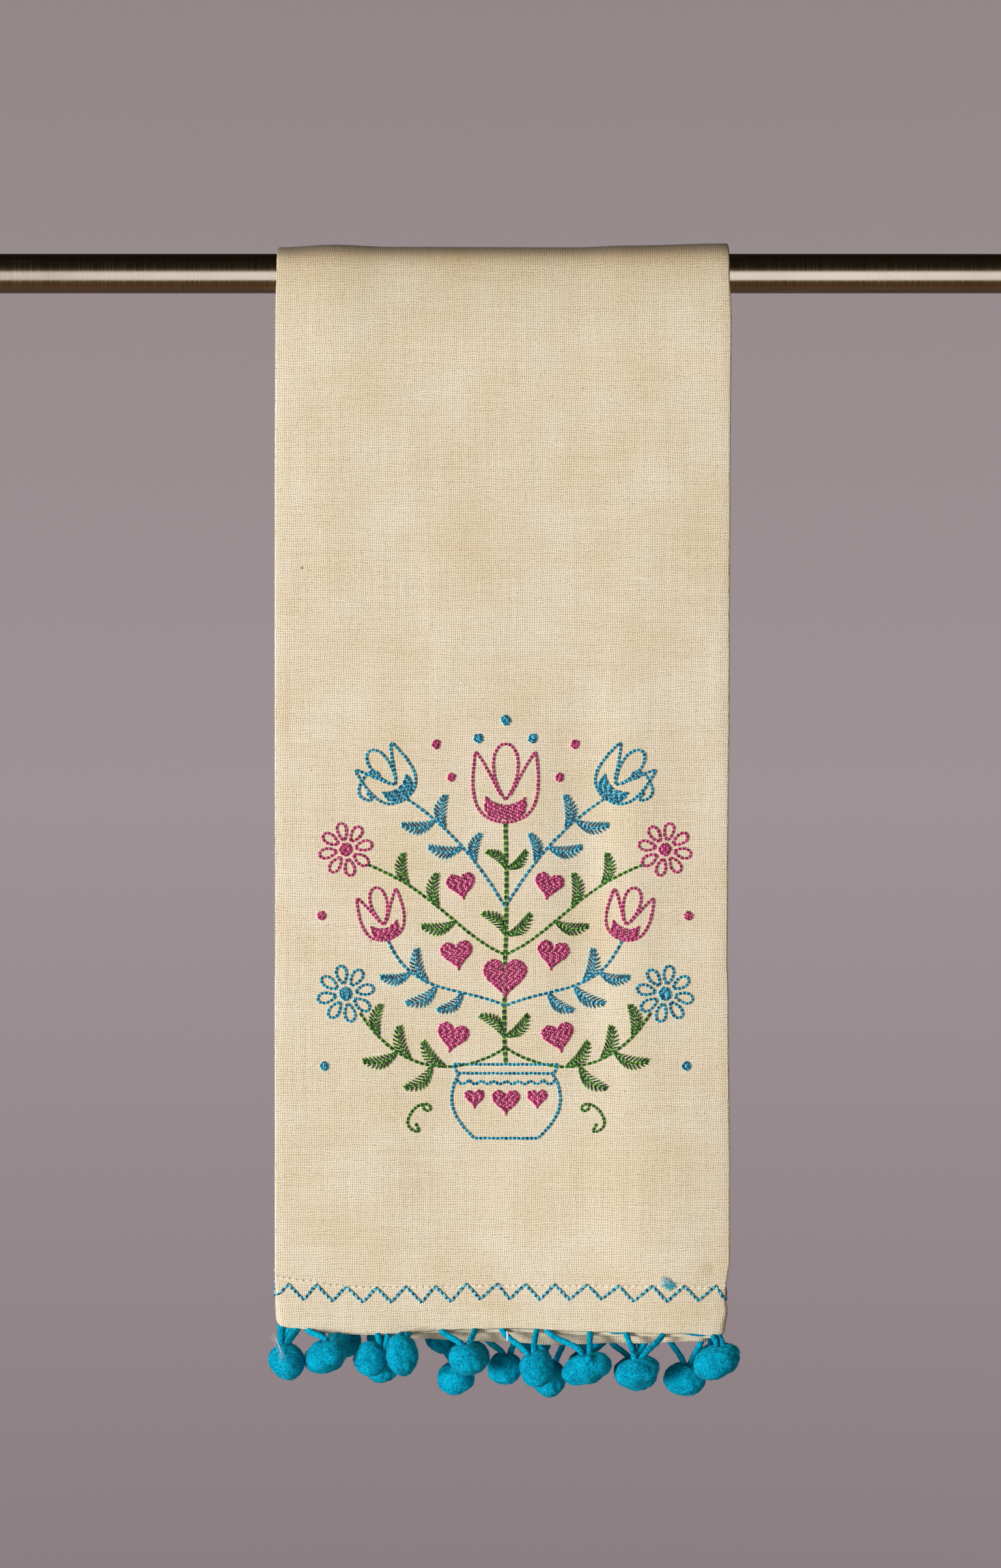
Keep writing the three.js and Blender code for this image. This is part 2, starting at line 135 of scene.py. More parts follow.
def makePiece(name, points, faceSets, material, places=None, flatFaces=0):
    # points are in millimetres; the last flatFaces faces are shaded flat
    mesh = bpy.data.meshes.new(name)
    corners = np.concatenate([np.asarray(faces).ravel() for faces in faceSets])
    counts = np.concatenate([np.full(len(faces), np.shape(faces)[1]) for faces in faceSets])
    mesh.vertices.add(len(points))
    mesh.vertices.foreach_set("co", (points * metresPerMm).astype(np.float32).ravel())
    mesh.loops.add(len(corners))
    mesh.loops.foreach_set("vertex_index", corners.astype(np.int32))
    mesh.polygons.add(len(counts))
    starts = np.concatenate([[0], np.cumsum(counts)[:-1]])
    mesh.polygons.foreach_set("loop_start", starts.astype(np.int32))
    smoothed = np.ones(len(counts), bool)
    if flatFaces:
        smoothed[-flatFaces:] = False
    mesh.polygons.foreach_set("use_smooth", smoothed)
    mesh.update(calc_edges=True)
    for label, values in (places or {}).items():
        attribute = mesh.attributes.new(label, "FLOAT_VECTOR", "POINT")
        attribute.data.foreach_set("vector", values.astype(np.float32).ravel())
    mesh.materials.append(material)
    piece = bpy.data.objects.new(name, mesh)
    bpy.context.collection.objects.link(piece)
    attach(piece, "root")
    return piece


def joinMeshes(parts):
    # each part is (points, faceSets, places); all have the same places
    points, faceSets, places, start = [], [], {}, 0
    for partPoints, partFaces, partPlaces in parts:
        points.append(partPoints)
        faceSets.extend(np.asarray(faces) + start for faces in partFaces)
        for label, values in partPlaces.items():
            places.setdefault(label, []).append(values)
        start += len(partPoints)
    return (
        np.concatenate(points),
        faceSets,
        {label: np.concatenate(values) for label, values in places.items()},
    )


def tubeFaces(count, rings, sides):
    # faces of many closed tubes, each of some rings of some sides
    tube = np.arange(count)[:, None, None] * rings * sides
    ring = np.arange(rings - 1)[None, :, None] * sides
    side = np.arange(sides)[None, None, :]
    here = tube + ring + side
    beside = tube + ring + (side + 1) % sides
    quads = np.stack([here, here + sides, beside + sides, beside], -1).reshape(-1, 4)
    first = tube[:, 0] + np.arange(sides)[None, :]
    last = first[:, ::-1] + (rings - 1) * sides
    return [quads, np.concatenate([first, last])]


def manyTubes(centres, girths, ups, sides):
    # centres (tubes, rings, 3), girths (tubes, rings), ups (tubes, 3): closed tubes along them
    count, rings = girths.shape
    along = unit(np.gradient(centres, axis=1))
    across = unit(np.cross(along, ups[:, None]))
    over = np.cross(across, along)
    angles = (2 * math.pi * np.arange(sides) / sides - math.pi / 2)[:, None]
    spread = across[:, :, None] * np.cos(angles) + over[:, :, None] * np.sin(angles)
    points = centres[:, :, None] + spread * girths[:, :, None, None]
    return points.reshape(-1, 3), tubeFaces(count, rings, sides)


def outwardFaces(points, faceSets):
    # turns all the faces over where they enclose less than nothing
    volume = 0.0
    for faces in faceSets:
        for k in range(1, faces.shape[1] - 1):
            a, b, c = (points[faces[:, corner]] for corner in (0, k, k + 1))
            volume += np.einsum("ij,ij->i", a, np.cross(b, c)).sum()
    return faceSets if volume >= 0 else [faces[:, ::-1] for faces in faceSets]


def hexColour(value):
    # sRGB hex to linear
    channels = [int(value[i:i + 2], 16) / 255 for i in (1, 3, 5)]
    linear = [c / 12.92 if c <= 0.04045 else ((c + 0.055) / 1.055) ** 2.4 for c in channels]
    return (*linear, 1)


def linkInputs(tree, node, links):
    # a node stands for its first output, (node, name) for a named one, a string for an sRGB hex
    # colour; anything else is a value
    for socket, source in links.items():
        if isinstance(source, bpy.types.Node):
            source = (source, 0)
        if isinstance(source, tuple) and isinstance(source[0], bpy.types.Node):
            tree.links.new(source[0].outputs[source[1]], node.inputs[socket])
        else:
            isColour = isinstance(source, str)
            node.inputs[socket].default_value = hexColour(source) if isColour else source


def addNode(tree, kind, links, stops=(), **settings):
    # stops are the (position, hex colour) pairs of a colour ramp
    node = tree.nodes.new("ShaderNode" + kind)
    for name, value in settings.items():
        setattr(node, name, value)
    linkInputs(tree, node, links)
    for _ in stops[2:]:
        node.color_ramp.elements.new(0.5)
    for index, (position, colour) in enumerate(stops):
        node.color_ramp.elements[index].position = position
        node.color_ramp.elements[index].color = hexColour(colour)
    return node


def newMaterial(name, values):
    # a material with its shader, whose plain values are set on its own sockets
    material = bpy.data.materials.new(name)
    material.use_nodes = True
    tree = material.node_tree
    shader = tree.nodes["Principled BSDF"]
    linkInputs(tree, shader, values)
    return material, tree, shader


# The rod and the cloth's folded form are as in the CAD part.

rodShape = {"length": 457.0, "radius": 6.6, "chamfer": 0.6, "sides": 128, "rings": 40}

clothShape = {
    "left": 153.0,
    "foldedWidth": 151.0,
    "frontDrop": 352.0,
    "backDrop": 330.0,
    "halfThickness": 0.33,
    "hemHalf": 1.1,
    "hemHeight": 16.0,
    "freeInset": {"middle": 6.0, "inner": 3.0},
    "spreadHeight": {"front": 110.0, "back": 90.0},
    "crownReach": 45.0,
    "foldDepth": 0.7,  # how far the back of a side fold comes in, as a share of a round fold's
    "foldBend": 0.6,  # the share of a fold behind its pressed front corner
    "foldCorner": 0.45,  # that corner's radius at most, as a share of the gap between the layers
    "foldLeast": 0.4,  # mm that a fold's back comes in at least
    "creaseScale": 1.6,  # the creases drawn deeper than the CAD part's, so that they show
    "unevenness": ((22, 31, 0.16), (7, 32, 0.05)),  # size, seed and height of slight bumps
    "unevenStretch": 0.4,  # their width over their length down the cloth
}

# middle surface of each layer, outward from the rod's surface
layerOffsets = {
    "overRod": {"inner": 0.4, "middle": 1.1, "front": 1.8},
    "front": {"inner": -5.0, "middle": 0.2, "front": 4.8},
    "back": {"inner": 1.4, "middle": 4.1, "front": 6.8},
}

# steps in from the towel's nominal sides
sideTable = {
    "drop": (0, 15, 70, 130, 210, 226, 245, 302, 332, 338, 342, 346, 352),
    "left": (0.5, 0.1, -0.1, -0.1, 0, 0, -0.1, 0, 0.1, 0.2, 0.2, 0.3, 0.8),
    "right": (-0.2, -0.9, -0.6, -0.4, 0.2, 0.4, 0, -0.4, -0.3, 1.1, 1.1, 0.4, 1.3),
}

# lower edge of each layer, below its nominal drop
hemEdges = {
    "front": {
        "front": {
            "share": (0, 0.05, 0.1, 0.19, 0.27, 0.36, 0.54, 0.72, 0.9, 1),
            "step": (-0.6, -0.2, 1.2, 1.2, 1.4, 0, -0.4, 0.6, 1, 1.9),
        },
        "middle": {
            "share": (0, 0.12, 0.31, 0.55, 0.63, 0.8, 1),
            "step": (-6, 0, 3, 4.2, 5, 4.3, 3.6),
        },
        "inner": {"share": (0, 0.4, 0.75, 1), "step": (-6, -4.5, -4, -1)},
    },
    "back": {
        "front": {"share": (0, 0.4, 1), "step": (-1.5, 0.4, 1.8)},
        "middle": {"share": (0, 0.4, 1), "step": (-3.1, -1.2, 0.2)},
        "inner": {"share": (0, 0.4, 1), "step": (-4.5, -2.6, -1.2)},
    },
}

# slack of the outermost layer over the rod
crownTable = {"share": (0, 0.12, 0.25, 0.66, 0.78, 1), "slack": (0, 0.9, 0.15, 0, 0.6, 1.3)}

# soft creases: middle, half width and height, and depth, outward if positive
creaseTables = {
    "front": [
        (22, 70, 26, 70, 0.5), (104, 205, 11, 60, -0.9), (118, 215, 10, 70, 0.6),
        (62, 300, 30, 60, -0.8), (128, 320, 20, 50, 0.9),
    ],
    "back": [(45, 210, 30, 120, 1.2), (110, 260, 26, 100, -0.9)],
}

# A station is a place across the unrolled cloth: 0 to 1 over the middle layer from its free edge
# to the left fold, 1 to 2 round that fold, 2 to 3 over the front, 3 to 4 round the right fold and
# 4 to 5 over the inner layer to its free edge.

frontMiddle = 2.5
layerSpans = {"middle": (0.0, 1.5), "front": (1.7, 3.3), "inner": (3.5, 5.0)}  # in front of the rod


def shareAt(station):
    return np.select(
        [station <= 1, station <= 2, station <= 3, station <= 4],
        [1 - station, np.zeros_like(station), station - 2, np.ones_like(station)],
        5 - station,
    )


def edgeDrop(side, station):
    # how far down the cloth's lower edge is
    station = np.asarray(station, float)
    share = shareAt(station)
    nominal = clothShape[side + "Drop"]
    middle, front, inner = (
        nominal + readTable(hemEdges[side][layer], "share", share, "step")
        for layer in ("middle", "front", "inner")
    )
    return np.where(
        station <= frontMiddle,
        mix(middle, front, np.clip(station - 1, 0, 1)),
        mix(front, inner, np.clip(station - 3, 0, 1)),
    )


def layerOffset(side, layer, drop, share):
    nominal, reach = clothShape[side + "Drop"], clothShape["spreadHeight"][side]
    spread = ease((drop - nominal + reach) / reach)
    offset = mix(layerOffsets["overRod"][layer], layerOffsets[side][layer], spread)
    if layer == "front":
        fade = 1 - ease(drop / clothShape["crownReach"])
        offset = offset + readTable(crownTable, "share", share, "slack") * fade
    return offset


def clothRelief(side, x, drop):
    # the soft creases, with a slight unevenness all over
    relief = np.zeros_like(x)
    for middle, level, wide, tall, depth in creaseTables[side]:
        across = (x - clothShape["left"] - middle) / wide
        down = (drop - level) / tall
        depth = depth * clothShape["creaseScale"]
        relief = relief + depth * np.exp(-across * across - down * down)
    place = np.stack([x, drop * clothShape["unevenStretch"]], -1)
    for size, seed, height in clothShape["unevenness"]:
        relief = relief + height * softNoise(place, size, seed)
    return relief * ease(drop / clothShape["crownReach"])


def foldCurve(turn, near, far, half):
    # a side fold, pressed sharp at its front corner and round behind it: how far in from its
    # outermost line, how far outward, and which way its right side faces
    gap = far - near
    corner = np.minimum(half + 0.05, clothShape["foldCorner"] * gap)
    deep = np.maximum(clothShape["foldDepth"] * gap / 2, clothShape["foldLeast"])
    tall = gap - corner
    bend = clothShape["foldBend"]
    behind = math.pi / 2 * (1 - np.clip(turn / bend, 0, 1))
    ahead = math.pi / 2 * np.clip((turn - bend) / (1 - bend), 0, 1)
    isBehind = turn < bend
    inward = np.where(isBehind, deep * (1 - np.cos(behind)), corner * (1 - np.cos(ahead)))
    outward = np.where(isBehind, near + tall * (1 - np.sin(behind)), far - corner * (1 - np.sin(ahead)))
    facing = unit(np.where(
        isBehind[..., None],
        np.stack([tall * np.cos(behind), -deep * np.sin(behind)], -1),
        np.stack([np.cos(ahead), np.sin(ahead)], -1)))
    return inward, outward, facing[..., 0], facing[..., 1], deep, corner


def clothPoint(side, station, drop, lift, half=None, angle=None):
    # lift is off the cloth's middle surface towards its right side
    station, drop, lift = np.broadcast_arrays(
        np.asarray(station, float), np.asarray(drop, float), np.asarray(lift, float))
    half = clothShape["halfThickness"] if half is None else half
    share = shareAt(station)
    onFront = drop if side == "front" else np.zeros_like(drop)
    left = clothShape["left"] + readTable(sideTable, "drop", onFront, "left")
    right = clothShape["left"] + clothShape["foldedWidth"]
    right = right - readTable(sideTable, "drop", onFront, "right")
    ends = {
        key: layerOffset(side, layer, drop, np.full_like(drop, end))
        for key, layer, end in (
            ("middle0", "middle", 0), ("front0", "front", 0),
            ("front1", "front", 1), ("inner1", "inner", 1))
    }
    leftIn, leftOut, leftSide, leftFace, leftDeep, leftCorner = foldCurve(
        np.clip(station - 1, 0, 1), ends["middle0"], ends["front0"], half)
    rightIn, rightOut, rightSide, rightFace, rightDeep, rightCorner = foldCurve(
        np.clip(4 - station, 0, 1), ends["inner1"], ends["front1"], half)
    left, right = left + half, right - half
    panels = [station <= 1, station < 2, station <= 3, station < 4]
    still, level = np.zeros_like(station), np.ones_like(station)
    x = np.select(panels, [
        mix(left + leftDeep, right + half - clothShape["freeInset"]["middle"], share),
        left + leftIn,
        mix(left + leftCorner, right - rightCorner, share),
        right - rightIn,
    ], mix(left - half + clothShape["freeInset"]["inner"], right - rightDeep, share))
    outward = np.select(panels, [
        layerOffset(side, "middle", drop, share), leftOut,
        layerOffset(side, "front", drop, share), rightOut,
    ], layerOffset(side, "inner", drop, share))
    facingX = np.select(panels, [still, -leftSide, still, rightSide], still)
    facingOut = np.select(panels, [-level, leftFace, level, rightFace], -level)
    relief = clothRelief(side, x, drop)
    x = x + facingX * lift
    outward = rodShape["radius"] + outward + facingOut * lift
    if angle is not None:
        return np.stack([x, -outward * math.cos(angle), outward * math.sin(angle)], -1)
    outward = outward + relief
    return np.stack([x, -outward if side == "front" else outward, -drop], -1)


def stationAt(layer, fromLeft, drop=352.0, half=1.1):
    # where a point on one layer lies across the unrolled cloth
    stations = np.linspace(*layerSpans[layer], 600)
    points = clothPoint("front", stations, drop, 0, half)
    order = np.argsort(points[:, 0])
    return np.interp(fromLeft, points[order, 0] - clothShape["left"], stations[order])


weave = {
    "acrossPitch": 0.6,  # mm between threads, as measured
    "downPitch": 0.82,
    "thread": "#fbf1df",
    "threadDeep": "#cbb68f",
    "hole": "#6b4e28",
    "slub": "#faf3e4",
    "speck": "#8f6a3a",
    "speckSpacing": 24,
    "patch": "#f8f2e6",
    "patchSize": 26,
    # the duller wrong side, darkened further as painted shade under the hem in front of it
    "wrongSideAndShade": "#d0c07a",
    # painted shade inside the slot between the hem's face and its facing
    "slotShade": "#4a3d28",
    "crownTop": -13.8,  # mm along the cloth, from the level of the rod's axis up to its top
    "crownReach": 40.0,
    "crownPaintedShade": [  # painted shade over the rod, from its top down to where the cloth is evenly lit
        (0.05, "#a2968a"), (0.17, "#bcb2a6"), (0.245, "#e1d8c9"), (0.333, "#ece8e0"),
        (0.52, "#f6f6f3"), (1.0, "#ffffff")],
}

# marks on the cloth, from the towel's left edge and as drops: centre, half width and height,
# strength and colour
stains = [
    (143.6, 332.0, 2.4, 3.4, 0.2, "#b98f56"),
    (65.0, 267.2, 0.7, 0.6, 0.65, "#8a6434"),
    (8.9, 99.1, 0.6, 0.6, 0.75, "#7c5a30"),
]


def plainWeaveCotton():
    # unbleached cotton, plain woven from uneven yarn: matt, with pinholes between fine ribs
    material, tree, shader = newMaterial("plainWeaveCotton", {
        "Roughness": 0.92, "Specular IOR Level": 0.15, "IOR": 1.46,
        "Sheen Weight": 0.1, "Sheen Roughness": 0.5,
    })
    smooth = {"interpolation_type": "SMOOTHSTEP"}
    placed = (addNode(tree, "Attribute", {}, attribute_name="flatPlace"), "Vector")
    flat = addNode(tree, "VectorMath", {0: placed, 1: (1, 1, 0)}, operation="MULTIPLY")

    # thread crossings, each thread wandering a little
    drift = addNode(tree, "TexNoise", {"Vector": flat, "Scale": 1 / 6, "Detail": 4.0, "Roughness": 0.6})
    centred = addNode(tree, "VectorMath", {0: (drift, "Color"), 1: (0.5, 0.5, 0.5)}, operation="SUBTRACT")
    wander = addNode(tree, "VectorMath", {0: centred, 1: (2.1, 2.6, 0)}, operation="MULTIPLY")
    counted = addNode(tree, "VectorMath", {
        0: flat, 1: (1 / weave["acrossPitch"], 1 / weave["downPitch"], 0)}, operation="MULTIPLY")
    threads = addNode(tree, "VectorMath", {0: counted, 1: wander}, operation="ADD")
    halfTurns = addNode(tree, "VectorMath", {0: threads, "Scale": math.pi}, operation="SCALE")
    waves = addNode(tree, "VectorMath", {0: halfTurns}, operation="SINE")
    signed = addNode(tree, "SeparateXYZ", {0: waves})
    over = addNode(tree, "Math", {0: (signed, "X"), 1: (signed, "Y")}, operation="MULTIPLY")
    size = addNode(tree, "VectorMath", {0: waves}, operation="ABSOLUTE")
    profile = addNode(tree, "SeparateXYZ", {0: size})
    heights = []
    for axis, share, base in (("X", 0.15, 0.8), ("Y", -0.18, 0.62)):
        rounded = addNode(tree, "Math", {0: (profile, axis), 1: 0.7}, operation="POWER")
        level = addNode(tree, "Math", {0: over, 1: share, 2: base}, operation="MULTIPLY_ADD")
        heights.append(addNode(tree, "Math", {0: rounded, 1: level}, operation="MULTIPLY"))
    height = addNode(tree, "Math", {0: heights[0], 1: heights[1], 2: 0.1}, operation="SMOOTH_MAX")

    # each yarn differs a little from the next, and so does each pinhole; the weave is more open
    # in some places
    yarns = []
    for stretch in ((0.9, 0.02, 0), (0.02, 0.9, 0)):
        drawn = addNode(tree, "VectorMath", {0: threads, 1: stretch}, operation="MULTIPLY")
        yarns.append(addNode(tree, "TexNoise", {"Vector": drawn, "Scale": 1.0, "Detail": 3.0}))
    yarn = addNode(tree, "Math", {0: yarns[0], 1: yarns[1]}, operation="ADD")
    opened = addNode(tree, "TexNoise", {"Vector": flat, "Scale": 0.8, "Detail": 5.0, "Roughness": 0.75})
    shifted = addNode(tree, "VectorMath", {0: threads, 1: (0.5, 0.5, 0)}, operation="ADD")
    crossing = addNode(tree, "VectorMath", {0: shifted}, operation="FLOOR")
    chance = addNode(tree, "TexWhiteNoise", {"Vector": crossing}, noise_dimensions="2D")
    openness = addNode(tree, "Math", {0: chance, 1: 0.24, 2: -0.3}, operation="MULTIPLY_ADD")
    holeEdge = addNode(tree, "Math", {0: opened, 1: 1.5, 2: openness}, operation="MULTIPLY_ADD")
    hole = addNode(tree, "MapRange", {
        "Value": height, "From Min": 0.1, "From Max": holeEdge, "To Min": 0.88, "To Max": 0.0}, **smooth)

    # ribs over deeper gaps, thick slubs, faint patches and seed specks
    rib = addNode(tree, "MapRange", {"Value": height, "From Min": 0.25, "From Max": 0.95})
    ribTone = addNode(tree, "Math", {0: rib, 1: 1.05, 2: -0.49}, operation="MULTIPLY_ADD")
    tone = addNode(tree, "Math", {0: yarn, 1: 0.4, 2: ribTone}, operation="MULTIPLY_ADD")
    ribbed = addNode(tree, "ValToRGB", {"Fac": tone}, [(0.0, weave["threadDeep"]), (0.75, weave["thread"])])
    slubs = []
    for stretch in ((1 / 0.9, 1 / 14, 0), (1 / 14, 1 / 1.2, 0)):
        drawn = addNode(tree, "VectorMath", {0: flat, 1: stretch}, operation="MULTIPLY")
        thick = addNode(tree, "TexNoise", {"Vector": drawn, "Scale": 1.0, "Detail": 1.0})
        slubs.append(addNode(tree, "MapRange", {
            "Value": thick, "From Min": 0.7, "From Max": 0.8, "To Max": 0.5}, **smooth))
    slub = addNode(tree, "Math", {0: slubs[0], 1: slubs[1]}, operation="MAXIMUM")
    broad = addNode(tree, "TexNoise", {"Vector": flat, "Scale": 1 / weave["patchSize"], "Detail": 3.0})
    patches = addNode(tree, "ValToRGB", {"Fac": broad}, [(0.3, weave["patch"]), (0.7, "#ffffff")])
    seeds = addNode(tree, "TexVoronoi", {"Vector": flat, "Scale": 1 / weave["speckSpacing"]})
    seed = addNode(tree, "MapRange", {
        "Value": (seeds, "Distance"), "From Min": 0.01, "From Max": 0.024, "To Min": 0.6,
        "To Max": 0.0}, **smooth)
    overlays = [
        ("MIX", hole, weave["hole"]), ("MIX", slub, weave["slub"]),
        ("MULTIPLY", 1.0, (patches, "Color")), ("MIX", seed, weave["speck"]),
    ]
    for x, drop, wide, tall, strength, colour in stains:
        away = addNode(tree, "VectorMath", {0: flat, 1: (x, drop, 0)}, operation="SUBTRACT")
        scaled = addNode(tree, "VectorMath", {0: away, 1: (wide, tall, 1)}, operation="DIVIDE")
        far = addNode(tree, "VectorMath", {0: scaled}, operation="LENGTH")
        spread = addNode(tree, "MapRange", {
            "Value": (far, "Value"), "From Min": 0.3, "From Max": 1.2, "To Min": strength,
            "To Max": 0.0}, **smooth)
        overlays.append(("MIX", spread, colour))

    # the wrong side, seen only where a layer hangs lower than the one before it, is duller, and its colour
    # also carries painted shade from the hem in front of it; painted shade darkens the slot between the
    # hem's face and its facing, where little light reaches; and over the rod the cloth gets painted shade,
    # darkest at the crown's top
    sides = addNode(tree, "SeparateXYZ", {0: placed})
    wrong = addNode(tree, "MapRange", {"Value": (sides, "Z")})
    slotShade = addNode(tree, "MapRange", {"Value": (sides, "Z"), "From Max": -1.0})
    # painted shade over the rod, darkest at the crown's top
    fromTop = addNode(tree, "Math", {0: (sides, "Y"), 1: weave["crownTop"]}, operation="SUBTRACT")
    away = addNode(tree, "Math", {0: fromTop}, operation="ABSOLUTE")
    crownShadePlace = addNode(tree, "Math", {0: away, 1: weave["crownReach"]}, operation="DIVIDE")
    crownShade = addNode(tree, "ValToRGB", {"Fac": crownShadePlace}, weave["crownPaintedShade"])
    overlays += [
        ("MULTIPLY", wrong, weave["wrongSideAndShade"]), ("MULTIPLY", slotShade, weave["slotShade"]),
        ("MULTIPLY", 1.0, (crownShade, "Color")),
    ]
    cloth = (ribbed, "Color")
    for blend, share, colour in overlays:
        cloth = (addNode(tree, "Mix", {0: share, 6: cloth, 7: colour}, data_type="RGBA",
                         blend_type=blend), 2)

    relief = addNode(tree, "Math", {0: slub, 1: 0.8, 2: height}, operation="MULTIPLY_ADD")
    bump = addNode(tree, "Bump", {"Strength": 0.5, "Distance": 0.00014, "Height": relief})
    linkInputs(tree, shader, {"Base Color": cloth, "Normal": bump})
    return material


towelMesh = {
    "panelStep": 3.1,  # mm between points across a panel
    "dropStep": 3.4,
    "foldSteps": 8,
    "arcSteps": 22,
    "slotDepths": (4.0, 2.5, 1.4, 0.95, 0.75, 0.4, 0.0),  # of the slot between face and facing
    "slotHalf": 0.6,
    "slotPinch": 0.4,  # how thin it is at its top, as a share
    "slotMouth": 3,  # mm above the edge where its mouth ends and the hem is at its thickest
    "faceTuck": 0.06,
    "sidePeek": 0.8,  # how far the facing hangs lower away from the front
    "peekCrimp": 0.4,
    "backHemRows": (0, 0.4, 2, 5, 9, 13),  # mm above the edge
    "frontHemRows": (15.0, 14.0, 13.2, 12, 10, 8, 6),
    "hemStep": 0.25,  # mm over which the hem's top edge steps down to the single cloth
    "hemGap": 6,
    "tips": {"back": 0.8, "front": 0.86},  # the hem's folds are thinner at their very edge
    "crimps": ((2.2, 41, 0.16), (6, 42, 0.14)),  # size, seed and height
    "groove": {"below": 2.2, "wide": 1.1, "depth": 0.08},  # of the topstitching, from the hem's top
    "levelDrop": 200.0,  # where places across the cloth are counted
}

# how far the facing shows below the face of the hem, by place across the front
facingTable = {"share": (0, 0.06, 0.2, 0.45, 0.97, 1), "peek": (-0.4, 0.2, 0.8, 1.5, 1.4, 0.2)}

# height of the two rows of hem stitching, as drops, by place across the front
hemRows = {
    "share": (0, 0.06, 0.12, 0.2, 0.38, 0.46, 0.8, 1),
    "topstitch": (334.6, 335.8, 337.3, 338.1, 338.0, 337.6, 337.6, 338.2),
    "zigzag": (338.9, 339.6, 340.2, 340.7, 340.3, 339.7, 340.2, 340.0),
}


def edgeCrimp(place):
    # the hem's lower edge is drawn up a little at its stitches
    return bumpsOf(np.stack([place, place * 0], -1), towelMesh["crimps"])


def stationsAcross():
    panel = round(clothShape["foldedWidth"] / towelMesh["panelStep"])
    fold = towelMesh["foldSteps"]
    steps = [np.linspace(i, i + 1, panel if i % 2 == 0 else fold, endpoint=False) for i in range(5)]
    return np.concatenate([*steps, [5.0]])


def flatAcross(side, stations, drop, half=None, angle=None):
    # distance across the unrolled cloth along one level, from the front's left edge
    across = lengthAlong(clothPoint(side, stations, drop, 0, half, angle))
    return across - np.interp(frontMiddle, stations, across) + clothShape["foldedWidth"] / 2


def hemHalfAt(drop, edge):
    # half the hem's thickness: it swells slowly below the shallow groove of the topstitching
    above, height, groove = edge - drop, clothShape["hemHeight"], towelMesh["groove"]
    dent = groove["depth"] * np.exp(-(((above - (height - groove["below"])) / groove["wide"]) ** 2))
    share = np.clip((height - above) / (height - towelMesh["slotMouth"]), 0, 1)
    return mix(clothShape["halfThickness"] + 0.05, clothShape["hemHalf"], share) - dent


def towelRows(backEdge, frontEdge):
    # rows of points from the back's lower edge over the rod to the front's hem, each with its side,
    # drop, half thickness and angle round the rod
    thin, hemHalf, height = (clothShape[key] for key in ("halfThickness", "hemHalf", "hemHeight"))
    step, hemTop, hemStep = towelMesh["dropStep"], height - 0.1, height + towelMesh["hemStep"]
    backTop, frontTop = (
        clothShape[key] - height - towelMesh["hemGap"] for key in ("backDrop", "frontDrop"))
    rows = [("back", backEdge - above, hemHalf * (towelMesh["tips"]["back"] if above == 0 else 1), None)
            for above in (*towelMesh["backHemRows"], hemTop)]
    rows.append(("back", backEdge - hemStep, thin, None))
    rows += [("back", drop, thin, None) for drop in np.linspace(backTop, step, round(backTop / step))]
    rows += [("front", 0.0, thin, angle) for angle in np.linspace(math.pi, 0, towelMesh["arcSteps"] + 1)]
    rows += [("front", drop, thin, None) for drop in np.linspace(step, frontTop, round(frontTop / step))]
    rows.append(("front", frontEdge - hemStep, thin, None))
    return rows + [("front", frontEdge - above, hemHalfAt(frontEdge - above, frontEdge), None)
                   for above in (hemTop, *towelMesh["frontHemRows"])]


